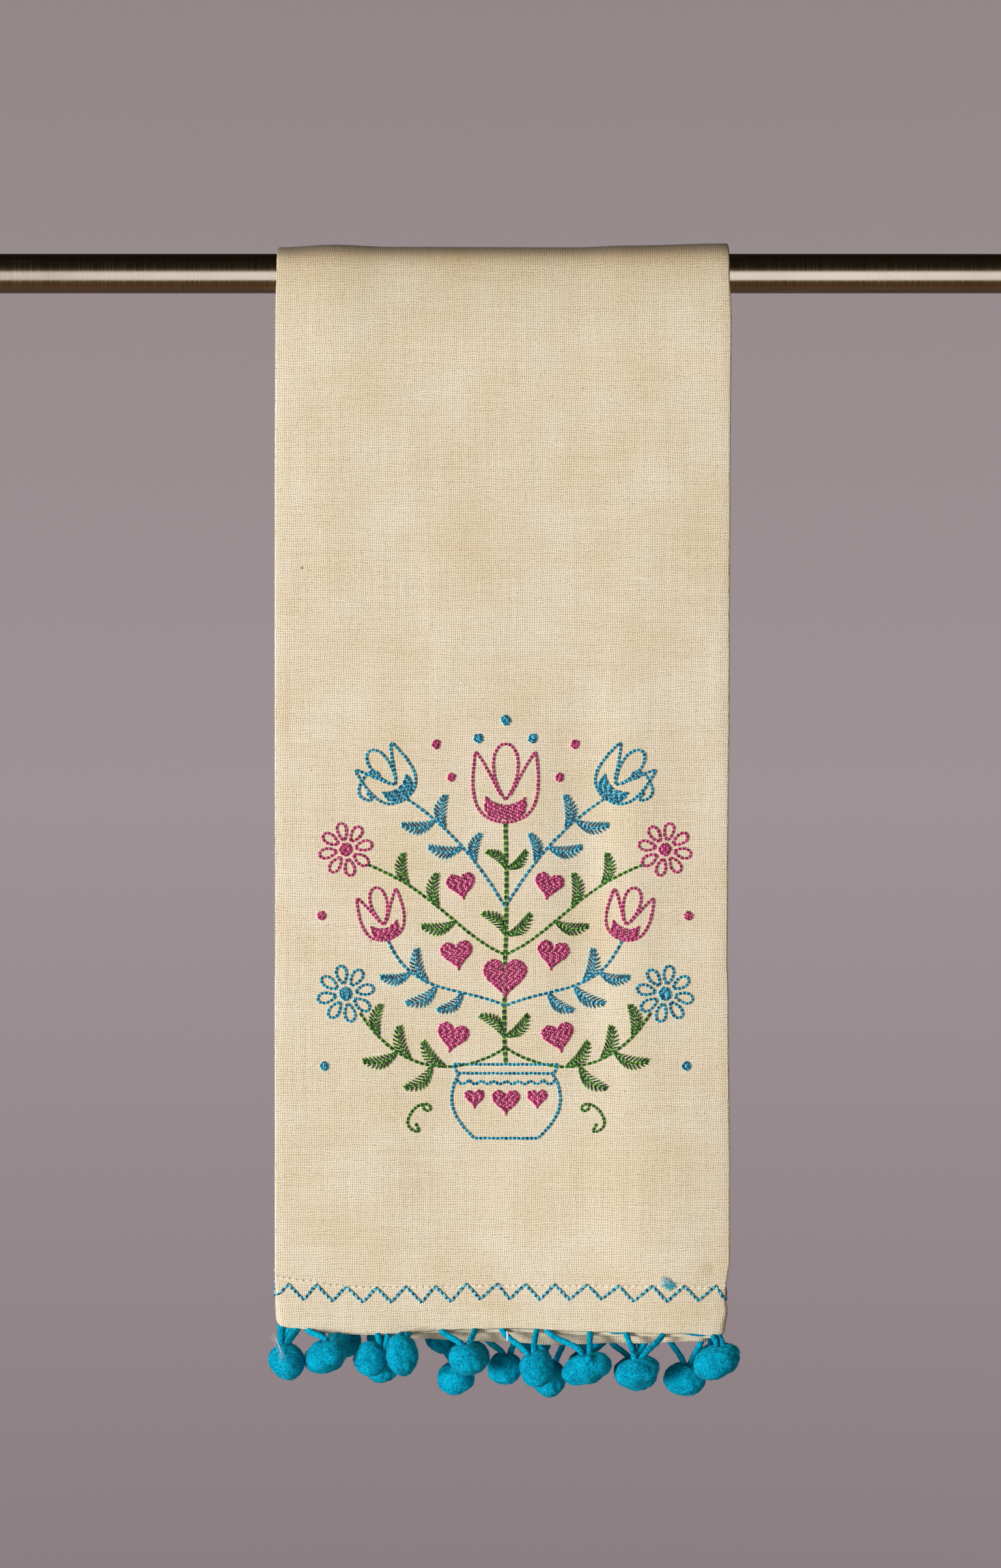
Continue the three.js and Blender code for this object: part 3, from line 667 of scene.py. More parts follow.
def makeTowel():
    stations = stationsAcross()
    crimp = edgeCrimp(flatAcross("front", stations, towelMesh["levelDrop"]))
    backEdge, frontEdge = edgeDrop("back", stations), edgeDrop("front", stations) - crimp
    onFace = (stations > 2) & (stations < 3)
    share = np.clip(stations - 2, 0, 1)
    peek = np.where(onFace, readTable(facingTable, "share", share, "peek"), towelMesh["sidePeek"])
    peek = peek + towelMesh["peekCrimp"] * crimp
    hemHalf, slotHalf, mouth = clothShape["hemHalf"], towelMesh["slotHalf"], towelMesh["slotMouth"]
    crownLength = math.pi * (rodShape["radius"] + layerOffsets["overRod"]["front"])
    columns, widths, lengths = [], [], []

    def addRow(side, drop, lift, half, angle=None):
        # length is the distance along the cloth from the level of the rod's axis in front
        length = -crownLength - drop if side == "back" else drop
        if angle is not None:
            length = -angle / math.pi * crownLength
        drop = np.broadcast_to(drop, stations.shape)
        columns.append(clothPoint(side, stations, drop, lift, half, angle))
        widths.append(flatAcross(side, stations, drop, half, angle))
        lengths.append(np.broadcast_to(length, stations.shape))

    rows, depths = towelRows(backEdge, frontEdge), towelMesh["slotDepths"]
    for side, drop, half, angle in rows:
        addRow(side, drop, half, half, angle)
    # down the hem's face, up the slot behind it, down the facing's front and up its back
    for facing, isOuter in ((1, True), (1, False), (-1, False), (-1, True)):
        for above in depths if isOuter == (facing > 0) else depths[::-1]:
            drop = frontEdge - above
            if isOuter:
                half = hemHalf * (towelMesh["tips"]["front"] if above == 0 else 1)
            else:
                half = slotHalf if above < mouth else slotHalf * towelMesh["slotPinch"]
            if facing < 0:
                drop = drop + peek * ease((mouth - above) / mouth)
            elif above == 0 and not isOuter:
                drop = drop - towelMesh["faceTuck"]
            addRow("front", drop, facing * half, hemHalf)
    for side, drop, half, angle in reversed(rows):
        addRow(side, drop, -half, half, angle)

    grid = np.stack(columns, 1)
    count, size = grid.shape[:2]
    i = np.arange(count - 1)[:, None] * size
    j = np.arange(size)[None, :]
    beside = (j + 1) % size
    quads = np.stack([i + j, i + beside, i + size + beside, i + size + j], -1).reshape(-1, 4)

    # the two free edges are closed between the cloth's sides, and within each half of the slot
    upper, flap, last = len(rows), len(depths), size - 1
    spans = ((0, last, upper), (upper, upper + 2 * flap - 1, flap),
             (upper + 2 * flap, upper + 4 * flap - 1, flap))
    capQuads = np.array([
        (start + k, start + k + 1, end - k - 1, end - k)
        for start, end, steps in spans for k in range(steps - 1)])
    (face, slot, _), (facing, back, _) = spans[1:]
    capRoots = np.array([(upper - 1, face, slot, facing, back, last - upper + 1)])
    end = (count - 1) * size
    # painted shade on both walls of the slot behind the hem's face, from 0.7 mm above its edge inward,
    # lighter on the face's wall; ones mark the wrong side
    slotShadeMarks = -np.interp(depths, (0.7, 0.95), (0, 1))
    sideAndShadeMarks = np.concatenate([
        np.zeros(upper + flap), slotShadeMarks[::-1] * 0.6, slotShadeMarks, np.zeros(flap), np.ones(upper)])
    flatPlace = np.stack([
        np.stack(widths, 1), np.stack(lengths, 1), np.broadcast_to(sideAndShadeMarks, (count, size))], -1)
    points = grid.reshape(-1, 3)
    faceSets = outwardFaces(points, [
        quads, capQuads + end, capRoots + end, capQuads[:, ::-1], capRoots[:, ::-1]])
    piece = makePiece("cotton_towel", points, faceSets, plainWeaveCotton(),
                      {"flatPlace": flatPlace.reshape(-1, 3)}, flatFaces=2 * (len(capQuads) + 1))
    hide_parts("towel")
    return piece


towel = makeTowel()
print("stage 3: towel,", len(towel.data.polygons), "faces")

rodFinish = {
    "paintedReflections": [  # places up the rod of its painted reflections: a painted brown reflection of a warm floor underneath, a painted highlight band along its front and a painted dark reflection on top
        (0.0, "#6f5840"), (0.1, "#bb9a73"), (0.235, "#bb9a73"), (0.265, "#d9cfc4"),
        (0.44, "#d9cfc4"), (0.56, "#95826d"), (0.7, "#95826d"), (0.85, "#76654f")],
    "pit": "#1d130c",
    "pitSpacing": 3.6,  # mm
    "brushWidth": 0.35,  # mm; real brush marks are about 0.1, drawn coarser to show
    "scratch": "#e8dcc8",
}


def brushedSteel():
    # brushed steel tube, satin, with small rust pits; painted reflections in bands up the rod give it a
    # brown underside, a bright front and a dark top
    material, tree, shader = newMaterial("brushedSteel", {"Metallic": 1.0, "Roughness": 0.3})
    place = (addNode(tree, "TexCoord", {}), "Object")
    brushed = addNode(tree, "VectorMath", {
        0: place, 1: (1000 / rodFinish["brushWidth"], 60, 60)}, operation="MULTIPLY")
    marks = addNode(tree, "TexNoise", {"Vector": brushed, "Scale": 1.0, "Detail": 4.0})
    lengthwise = addNode(tree, "VectorMath", {0: place, 1: (22, 2300, 2300)}, operation="MULTIPLY")
    lines = addNode(tree, "TexNoise", {"Vector": lengthwise, "Scale": 1.0, "Detail": 3.0})
    cloud = addNode(tree, "TexNoise", {"Vector": place, "Scale": 60.0, "Detail": 4.0})
    tone = addNode(tree, "Math", {0: cloud, 1: 0.6, 2: marks}, operation="MULTIPLY_ADD")
    clouded = addNode(tree, "MapRange", {
        "Value": tone, "From Min": 0.45, "From Max": 1.05, "To Min": 0.72, "To Max": 1.0})
    parts = addNode(tree, "SeparateXYZ", {0: place})
    # painted reflections, by height up the rod
    level = addNode(tree, "Math", {
        0: (parts, "Z"), 1: 500 / rodShape["radius"], 2: 0.5}, operation="MULTIPLY_ADD")
    paintedReflection = addNode(tree, "ValToRGB", {"Fac": level}, rodFinish["paintedReflections"])
    colour = addNode(tree, "VectorMath", {0: (paintedReflection, "Color"), "Scale": clouded}, operation="SCALE")
    scratch = addNode(tree, "MapRange", {
        "Value": lines, "From Min": 0.68, "From Max": 0.74, "To Max": 0.5})
    scratched = addNode(tree, "Mix", {0: scratch, 6: colour, 7: rodFinish["scratch"]}, data_type="RGBA")
    pits = addNode(tree, "TexVoronoi", {"Vector": place, "Scale": 1000 / rodFinish["pitSpacing"]})
    pitSize = addNode(tree, "MapRange", {
        "Value": (pits, "Color"), "From Min": 0.5, "From Max": 1.0, "To Min": 0.0, "To Max": 0.1})
    pit = addNode(tree, "Math", {0: (pits, "Distance"), 1: pitSize}, operation="LESS_THAN")
    pitted = addNode(tree, "Mix", {0: pit, 6: (scratched, 2), 7: rodFinish["pit"]}, data_type="RGBA")
    rough = addNode(tree, "MapRange", {
        "Value": marks, "From Min": 0.3, "From Max": 0.7, "To Min": 0.16, "To Max": 0.3})
    relief = addNode(tree, "Math", {0: lines, 1: 0.7, 2: marks}, operation="MULTIPLY_ADD")
    bump = addNode(tree, "Bump", {"Strength": 0.15, "Distance": 0.0001, "Height": relief})
    linkInputs(tree, shader, {"Base Color": (pitted, 2), "Roughness": rough, "Normal": bump})
    return material


def makeRod():
    length, radius, chamfer, sides, rings = rodShape.values()
    inner = np.linspace(chamfer, length - chamfer, rings)
    along = np.concatenate([[0, 0.25 * chamfer], inner, [length - 0.25 * chamfer, length]])
    girth = np.full(len(along), radius)
    girth[[0, -1]] = radius - chamfer
    girth[[1, -2]] = radius - 0.3 * chamfer
    angles = 2 * math.pi * np.arange(sides) / sides
    points = np.stack([
        np.repeat(along, sides),
        (girth[:, None] * np.cos(angles)).ravel(),
        (girth[:, None] * np.sin(angles)).ravel(),
    ], -1)
    faceSets = outwardFaces(points, tubeFaces(1, len(along), sides))
    piece = makePiece("steel_rod", points, faceSets, brushedSteel(), flatFaces=2)
    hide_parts("rod")


makeRod()
print("stage 4: rod")

# hem is where a ball's two cords leave the hem and x where it hangs, from the towel's left edge;
# span is between its cords, below its drop under the nominal hem, back its place behind the rod's
# axis; tilt lifts its right side and lean moves its cords round to the right of its top, in degrees
ballColumns = ("hem", "span", "x", "below", "back", "wide", "tall", "deep", "tilt", "lean")
ballTables = {
    "front": [
        (5.3, 5.1, 4.6, 9.6, -17, 11.4, 12.8, 11.4, 14, -9),
        (16, 10.3, 17.2, 7.8, -17, 14.8, 10.8, 11.4, 25, 16),
        (36, 3.6, 32.1, 9.6, -13, 11.4, 11.8, 11.2, 10, 45),
        (43.4, 2.6, 42.6, 7.2, -18.4, 10.6, 14.2, 10.6, 4, 3),
        (61, 11.6, 64.3, 8.9, -17, 12.7, 10.8, 11.4, -6, -8),
        (81.3, 11.8, 87.2, 12, -17, 11.7, 12.5, 11.4, 10, -22),
        (97.6, 14.6, 103.4, 12, -17, 17, 10.4, 11.4, 18, 0),
        (122.8, 12.6, 120.2, 13.2, -17, 15.4, 9.8, 11.4, 16, 3),
        (146.6, 2.2, 146.5, 9.8, -16.6, 16, 11.2, 11.4, 26, 12),
    ],
    "middle": [
        (5.2, 7.4, 3.0, 11.4, -4, 10.8, 11, 11, 0, -6),
        (17, 9, 17, 10.4, -4, 12, 10.4, 11, 18, 10),
        (37, 7, 35.4, 13.3, -2, 11.6, 12, 10.6, 0, 5),
        (57.5, 9, 60.3, 17.2, -4, 12.6, 11.6, 11, 14, -4),
        (75.2, 9.6, 76.7, 14.1, -4.2, 12, 11, 11, 0, 5),
        (92, 8.4, 91.2, 17.2, -4, 11.4, 13.2, 11, 8, 12),
        (104, 8, 103.4, 13, -4, 12.2, 10.6, 11, 14, 0),
        (117.6, 12, 120, 15.9, -4, 14.8, 10.8, 11, -12, -4),
        (136.8, 11, 136.5, 17.3, -5.4, 14.8, 11.4, 11, 0, 8),
    ],
    "inner": [
        (9.0, 0.3, 3.8, 13.4, 8, 10.6, 10.6, 10.6, 0, -24),
        (23, 9, 22.3, 6.7, 8, 11.6, 11.6, 11, 0, 0),
        (37, 9, 36.2, 6.5, 8.6, 12, 11.4, 11, 0, 0),
        (54, 8, 55.6, 5.3, 8, 12, 11.4, 11, 0, 0),
        (68, 5, 66, 12, 8.4, 10.8, 10.8, 11, 0, 0),
        (86, 9, 86.5, 6.2, 8, 12.6, 11.6, 11, 0, 0),
        (104, 9, 105.1, 5.2, 8.4, 12.4, 11.2, 11, 0, 0),
        (119.8, 4, 121, 16.4, 8.4, 12, 10.4, 11, 0, 0),
        (146, 3, 147, 13.2, 8.6, 11.6, 10.8, 11, 0, 0),
    ],
}

ballShape = {
    "subdivisions": 5,
    "bumps": ((3.4, 61, 0.34), (0.9, 62, 0.17)),  # lumps and dimples: size, seed and height
    "seatDepth": 1.1,  # mm that the cords pull the wool in where they are sewn to it
    "seatReach": 1.9,
    "fibres": {"front": 1600, "middle": 500, "inner": 120},
    "fibreLength": 0.8,
    "fibreRadius": 0.032,
    "rootDepth": 0.1,
    "tuft": {"ball": ("front", 7), "x": 104.1, "drop": 360.4, "back": -21.1, "radius": 1.35,
             "bumps": ((0.5, 63, 0.12),)},
}

fibreShape = {
    "outward": 0.55,
    "stray": 0.8,
    "reach": (0.45, 1.15),  # shortest and longest, as shares of the length
    "curl": 0.45,
    "girths": (1.0, 0.75, 0.2),  # from root to tip, as shares of the radius
    "marks": (0.2, 0.6, 1.0),  # from root to tip, how much paler: a painted highlight where the fibres catch the light
}

felt = {
    "lit": "#05c2e5",
    "deep": "#006a93",
    # painted highlight at the fibres' tips
    "tip": "#5fd6e8",
    "sheen": "#3fd0ee",
    "fibreClump": 0.55,  # mm; real wool fibres are 0.02, drawn as curled clumps to show
}


def dyedWoolFelt():
    # wool dyed turquoise and felted: deep and matt, speckled in random tone; its loose fibres get a painted
    # highlight towards their tips, where curled fibres catch the light
    material, tree, shader = newMaterial("dyedWoolFelt", {
        "Roughness": 1.0, "Specular IOR Level": 0.08, "IOR": 1.5,
        "Sheen Weight": 0.15, "Sheen Roughness": 0.4, "Sheen Tint": felt["sheen"],
    })
    place = (addNode(tree, "TexCoord", {}), "Object")
    clumps = addNode(tree, "TexNoise", {
        "Vector": place, "Scale": 1000 / felt["fibreClump"], "Detail": 4.0, "Roughness": 0.62,
        "Distortion": 0.8})
    broad = addNode(tree, "TexNoise", {"Vector": place, "Scale": 260.0, "Detail": 2.0})
    tone = addNode(tree, "Math", {0: broad, 1: 0.3, 2: clumps}, operation="MULTIPLY_ADD")
    colour = addNode(tree, "ValToRGB", {"Fac": tone}, [(0.5, felt["deep"]), (0.76, felt["lit"])])
    fibre = (addNode(tree, "Attribute", {}, attribute_name="fibrePlace"), "Vector")
    along = addNode(tree, "SeparateXYZ", {0: fibre})
    tipHighlight = addNode(tree, "Math", {0: along, 1: 0.4}, operation="MULTIPLY")
    tipsHighlighted = addNode(tree, "Mix", {0: tipHighlight, 6: (colour, "Color"), 7: felt["tip"]}, data_type="RGBA")
    bump = addNode(tree, "Bump", {"Strength": 0.7, "Distance": 0.0004, "Height": clumps})
    linkInputs(tree, shader, {"Base Color": (tipsHighlighted, 2), "Normal": bump})
    return material


feltMaterial = dyedWoolFelt()


def ballPose(row):
    tilt = math.radians(row["tilt"])
    centre = np.array([
        clothShape["left"] + row["x"], row["back"], -clothShape["frontDrop"] - row["below"]])
    across = np.array([math.cos(tilt), 0, math.sin(tilt)])
    return centre, across, np.array([-across[2], 0, across[0]])


def ballSeat(row):
    # where the cords meet the ball's surface, with the directions out of it and along it
    lean = math.radians(row["lean"])
    turn = lean + math.radians(row["tilt"])
    reach = 1 / math.hypot(math.sin(turn) / (row["wide"] / 2), math.cos(turn) / (row["tall"] / 2))
    up = np.array([math.sin(lean), 0, math.cos(lean)])
    return ballPose(row)[0] + up * reach, up, np.array([math.cos(lean), 0, -math.sin(lean)])


def looseFibres(roots, outward, length, radius, draw):
    # short curved fibres that taper to their tips
    count = len(roots)
    stray = unit(draw.normal(size=(count, 3))) * fibreShape["stray"]
    lean = unit(outward * fibreShape["outward"] + stray)
    curl = unit(np.cross(lean, draw.normal(size=(count, 3))))
    reach = (length * draw.uniform(*fibreShape["reach"], count))[:, None, None]
    steps = np.array([0, 0.5, 1])[None, :, None]
    bent = fibreShape["curl"] * curl[:, None] * steps**2
    centres = roots[:, None] + (lean[:, None] * steps + bent) * reach
    girths = radius * np.array(fibreShape["girths"])[None, :] * np.ones((count, 1))
    points, faceSets = manyTubes(centres, girths, draw.normal(size=(count, 3)), 3)
    along = np.repeat(np.tile(fibreShape["marks"], count), 3)
    return points, faceSets, {"fibrePlace": np.stack([along, along * 0, along * 0], -1)}


def roundSphere(subdivisions):
    sphere = bmesh.new()
    bmesh.ops.create_icosphere(sphere, subdivisions=subdivisions, radius=1)
    points = np.array([vertex.co for vertex in sphere.verts])
    faces = np.array([[vertex.index for vertex in face.verts] for face in sphere.faces])
    sphere.free()
    return points, faces


spherePoints, sphereFaces = roundSphere(ballShape["subdivisions"])


def makeBall(layer, index, row):
    draw = np.random.default_rng(900 + 20 * len(layer) + index)
    centre, across, up = ballPose(row)
    shift = draw.uniform(-40, 40, 3)
    size = np.array([row["wide"], row["deep"], row["tall"]]) / 2 - 0.05
    body = spherePoints * size
    outward = unit(spherePoints / size)
    bumps = bumpsOf(body + shift, ballShape["bumps"])
    turn = math.radians(row["lean"] + row["tilt"])
    seatPlace = unit(np.array([math.sin(turn), 0, math.cos(turn)]) / size) * size
    seat = np.linalg.norm(body - seatPlace, axis=1) / ballShape["seatReach"]
    body = body + outward * (bumps - ballShape["seatDepth"] * np.exp(-seat**2))[:, None]
    count = ballShape["fibres"][layer]
    picks = draw.integers(0, len(sphereFaces), count)
    corners = sphereFaces[picks]
    weights = draw.dirichlet((1, 1, 1), count)[:, :, None]
    roots = (body[corners] * weights).sum(1)
    rootOutward = unit((outward[corners] * weights).sum(1))
    bodyPart = (body, [sphereFaces], {"fibrePlace": np.zeros_like(body)})
    fibres = looseFibres(
        roots - rootOutward * ballShape["rootDepth"], rootOutward, ballShape["fibreLength"],
        ballShape["fibreRadius"], draw)
    points, faceSets, places = joinMeshes([bodyPart, fibres])
    points = points[:, :1] * across + points[:, 1:2] * np.array([0, 1, 0]) + points[:, 2:] * up + centre
    tuft = ballShape["tuft"]
    if (layer, index) == tuft["ball"]:
        knob = spherePoints * tuft["radius"] * (1 + bumpsOf(spherePoints, tuft["bumps"]))[:, None]
        knob = knob + [clothShape["left"] + tuft["x"], tuft["back"], -tuft["drop"]]
        points, faceSets, places = joinMeshes([
            (points, faceSets, places), (knob, [sphereFaces], {"fibrePlace": np.zeros_like(knob)})])
    piece = makePiece(f"felt_ball_{layer}_{index}", points, faceSets, feltMaterial,
                      places)
    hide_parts(f"pompom_{layer}_{index}")
    return piece


ballRows = [
    (layer, index, dict(zip(ballColumns, values)))
    for layer, rows in ballTables.items() for index, values in enumerate(rows, 1)]
balls = [makeBall(*row) for row in ballRows]
print("stage 5:", len(balls), "pom-poms")

braid = {
    "cordRadius": 1.0,
    "cordSpacing": 1.05,
    "bow": 1.7,  # mm the front cords stand forward in the middle
    "insideHem": 2.4,
    "hemMouth": 0.3,  # mm above the edge where a cord starts to bend
    "fall": 0.3,  # how far it keeps straight at each end, as a share of its length
    "startFall": 0.8,
    "splay": 0.15,
    "squeeze": 0.55,  # how flat it is inside the hem, and over how many mm it rounds out below
    "squeezeReach": 1.5,
    "seat": 1.7,
    "rings": 26,
    "sides": 10,
    "plyPitch": 2.4,
    "plyDepth": 0.03,
    "lumpSize": 0.7,
    "lumps": 0.08,
    "fibres": 50,
    "fibreLength": 0.75,
    "fibreRadius": 0.03,
    "ribbonHalf": 0.22,
    "ribbonRise": 3.4,
}

# where the header ribbon shows under the face of the hem, by place across the front
ribbonTable = {
    "share": (0, 0.745, 0.757, 0.775, 0.785, 0.9, 0.93, 0.97, 0.985, 1),
    "reach": (-0.7, -0.7, 0.75, 0.75, -0.7, -0.7, 0.8, 0.8, -0.7, -0.7),
}


def cordRoute(layer, row, side):
    station = float(stationAt(layer, row["hem"] + side * row["span"] / 2))
    edge = float(edgeDrop("front", station))
    inside, start = (
        clothPoint("front", station, edge - above, 0, clothShape["hemHalf"])
        for above in (braid["insideHem"], braid["hemMouth"]))
    seat, up, across = ballSeat(row)
    end = seat - up * braid["seat"] + across * side * braid["cordSpacing"]
    fall = np.linalg.norm(end - start) * braid["fall"]
    bow = np.array([0, -braid["bow"] if layer == "front" else 0, 0])
    first = start + np.array([side * -braid["splay"], 0, -1]) * fall * braid["startFall"] + bow
    curve = bezier((start, first, end + up * fall + bow, end), braid["rings"])
    return np.concatenate([[inside], curve])


def makeCord(layer, row, side, draw):
    route = cordRoute(layer, row, side)
    rings, sides, count = len(route), braid["sides"], braid["fibres"]
    along = unit(np.gradient(route, axis=0))
    across = unit(np.cross(along, np.array([0, 1.0, 0])))
    over = np.cross(across, along)
    length = lengthAlong(route)[:, None]
    angles = 2 * math.pi * np.arange(sides) / sides
    ply = np.cos(2 * (angles - math.pi * length / braid["plyPitch"]))
    ring = np.stack(np.broadcast_arrays(length, np.cos(angles), np.sin(angles)), -1)
    bumps = softNoise(ring * np.array([1, 0.8, 0.8]) + draw.uniform(0, 50, 3), braid["lumpSize"], 71)
    girth = braid["cordRadius"] * (1 + braid["plyDepth"] * ply + braid["lumps"] * bumps)
    squeeze = mix(braid["squeeze"], 1.0, ease((length - braid["insideHem"]) / braid["squeezeReach"]))
    spread = (across[:, None] * np.cos(angles)[:, None]
              + over[:, None] * (np.sin(angles) * squeeze)[:, :, None])
    points = route[:, None] + spread * girth[:, :, None]
    picks = draw.integers(4, rings - 1, count)
    turns = draw.integers(0, sides, count)
    outward = unit(spread[picks, turns])
    roots = points[picks, turns] - outward * ballShape["rootDepth"]
    roots = roots + along[picks] * draw.uniform(-0.3, 0.3, (count, 1))
    fixed = {"fibrePlace": np.zeros((rings * sides, 3))}
    return [(points.reshape(-1, 3), tubeFaces(1, rings, sides), fixed),
            looseFibres(roots, outward, braid["fibreLength"], braid["fibreRadius"], draw)]


def makeRibbon():
    stations = stationsAcross()
    reach = readTable(ribbonTable, "share", np.clip(stations - 2, 0, 1), "reach")
    edge = edgeDrop("front", stations) - edgeCrimp(
        flatAcross("front", stations, towelMesh["levelDrop"]))
    half, rise = braid["ribbonHalf"], -braid["ribbonRise"]
    points = np.stack([
        clothPoint("front", stations, edge + below, lift, clothShape["hemHalf"])
        for below, lift in ((rise, half), (reach, half), (reach, -half), (rise, -half))
    ], 1).reshape(-1, 3)
    return points, tubeFaces(1, len(stations), 4), {"fibrePlace": np.zeros_like(points)}


def makeBraid():
    draw = np.random.default_rng(77)
    parts = [makeRibbon()]
    for layer, _, row in ballRows:
        for side in (-1, 1):
            parts += makeCord(layer, row, side, draw)
    points, faceSets, places = joinMeshes([
        (points, outwardFaces(points, faceSets), places) for points, faceSets, places in parts])
    piece = makePiece("braid_cords", points, faceSets, feltMaterial, places)
    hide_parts("pompom_braid")
    return piece


braidPiece = makeBraid()
print("stage 6: braid,", len(braidPiece.data.polygons), "faces")

threadShape = {
    "steps": (0.0, 0.14, 0.5, 0.86, 1.0),
    "girths": (0.5, 0.95, 1.0, 0.95, 0.5),
    "rises": (-0.7, 0.75, 1.0, 0.75, -0.7),
    "sides": 5,
    "plyPitch": 0.7,
}


def sewnThreads(stitches):
    # stitches is a list of (start, end, up, radius, rise) rows, all (n, 3) or (n,) arrays
    starts, ends, ups, radii, rises = (np.concatenate(column) for column in zip(*stitches))
    steps, girths, heights = (np.array(threadShape[key]) for key in ("steps", "girths", "rises"))
    span = ends - starts
    centres = starts[:, None] + span[:, None] * steps[None, :, None]
    centres = centres + ups[:, None] * (heights[None] * rises[:, None])[:, :, None]
    points, faceSets = manyTubes(
        centres, radii[:, None] * girths[None], ups, threadShape["sides"])
    lengths = np.linalg.norm(span, axis=1)
    count, rings, sides = len(starts), len(steps), threadShape["sides"]
    shares = np.broadcast_to(steps[None, :, None], (count, rings, sides))
    turns = np.arange(sides)[None, None] / sides
    twist = lengths[:, None, None] * shares / threadShape["plyPitch"] + turns
    tone = np.random.default_rng(5).uniform(0, 1, count)[:, None, None] + shares * 0
    places = {"threadPlace": np.stack([shares, twist, tone], -1).reshape(-1, 3)}
    return points, faceSets, places


def spunThread(name, colours, values, turnIn=(0.22, 0.36)):
    # twisted thread whose colour is painted along each stitch, from its first colours in the middle to its
    # last at the ends: painted shade where the hem's threads turn into the cloth, and painted highlight at
    # the ends of the embroidery's, with painted shade in their middles; turnIn is the share of a stitch
    # from its middle where that change begins and is complete
    material, tree, shader = newMaterial(name, values)
    place = (addNode(tree, "Attribute", {}, attribute_name="threadPlace"), "Vector")
    parts = addNode(tree, "SeparateXYZ", {0: place})
    wave = addNode(tree, "Math", {0: (parts, "Y"), 1: 2 * math.pi}, operation="MULTIPLY")
    ply = addNode(tree, "Math", {0: wave}, operation="SINE")
    offset = addNode(tree, "Math", {0: (parts, "X"), 1: 0.5}, operation="SUBTRACT")
    away = addNode(tree, "Math", {0: offset}, operation="ABSOLUTE")
    ends = addNode(tree, "MapRange", {
        "Value": away, "From Min": turnIn[0], "From Max": turnIn[1], "To Min": 0.0, "To Max": 0.8,
    }, interpolation_type="SMOOTHSTEP")
    varied = addNode(tree, "Math", {0: (parts, "Z"), 1: 0.35, 2: ends}, operation="MULTIPLY_ADD")
    tone = addNode(tree, "Math", {0: ply, 1: 0.1, 2: varied}, operation="MULTIPLY_ADD")
    colour = addNode(tree, "ValToRGB", {"Fac": tone}, list(zip((0.05, 0.4, 0.95), colours)))
    bump = addNode(tree, "Bump", {"Strength": 0.5, "Distance": 0.0001, "Height": ply})
    linkInputs(tree, shader, {"Base Color": colour, "Normal": bump})
    return material


rayonGloss = {"Roughness": 0.38, "Specular IOR Level": 0.5, "IOR": 1.5,
              "Sheen Weight": 0.15, "Sheen Roughness": 0.3}
cottonMatt = {"Roughness": 0.85, "Specular IOR Level": 0.2, "IOR": 1.46}

hemSewing = {
    "topstitchPitch": 2.2,
    "topstitchLength": 1.8,
    "topstitchSlant": 0.22,  # mm each stitch rises to the right
    "topstitchRadius": 0.25,
    "topstitchStray": (0.12, 0.08),  # mm along and up
    # from a stitch's middle to its ends: cream thread, then painted tan shade where it turns into the cloth
    "topstitchColours": ("#fffaf0", "#fdf4e2", "#ecc898"),
    "topstitchTurnIn": (0.3, 0.42),
    "zigzagPitch": 10.1,  # beyond the measured turns
    "zigzagSoftness": 0.2,
    "zigzagStitch": 1.85,
    "zigzagRadius": 0.36,
    "zigzagSlant": 0.12,
    "zigzagStray": (0.14, 0.05),  # along in stitches, and aside in mm
    "zigzagLevelStray": 0.2,
    "zigzagLevels": (-2.3, 2.5),  # mm above its middle, beyond the measured turns
    "zigzagStrands": ((-0.1, -0.16), (0.1, 0.16)),  # shift along in stitches, and aside in mm
    # from a stitch's middle to its ends: a painted highlight, the thread's turquoise, and painted navy
    # shade where it turns into the cloth
    "zigzagColours": ("#86d8e8", "#249fbd", "#031e36"),
    "zigzagTurnIn": (0.26, 0.33),
}

# the zigzag's turns on the front, measured from the towel's left edge and as drops
zigzagTurns = [
    (0.5, 340.9), (5.0, 336.9), (9.4, 342.2), (14.4, 337.1), (19.1, 342.6), (24.1, 337.8),
    (29.1, 343.0), (34.1, 338.2), (38.6, 343.1), (43.8, 337.8), (48.6, 343.1), (53.5, 337.8),
    (58.3, 342.9), (63.7, 336.9), (68.2, 342.1), (73.9, 336.9), (77.9, 342.0), (83.2, 337.1),
    (88.1, 342.2), (92.9, 337.1), (97.9, 342.2), (103.5, 337.1), (108.6, 342.0), (113.9, 337.4),
    (119.2, 342.6), (124.9, 337.4), (130.3, 342.6), (135.5, 337.4), (140.7, 342.4), (145.9, 337.4),
    (150.2, 342.4),
]


def hemPoints(stations, drops, lift):
    edge = edgeDrop("front", stations)
    half = hemHalfAt(drops, edge)
    points = clothPoint("front", stations, drops, half + lift, half)
    above = clothPoint("front", stations, drops, half + lift + 0.5, half)
    return points, unit(above - points)


def hemRowDrop(stations, column):
    # the rows run level across the unrolled cloth, so each layer repeats its height above the edge
    share = shareAt(stations)
    rise = edgeDrop("front", 2 + share) - readTable(hemRows, "share", share, column)
    return edgeDrop("front", stations) - rise


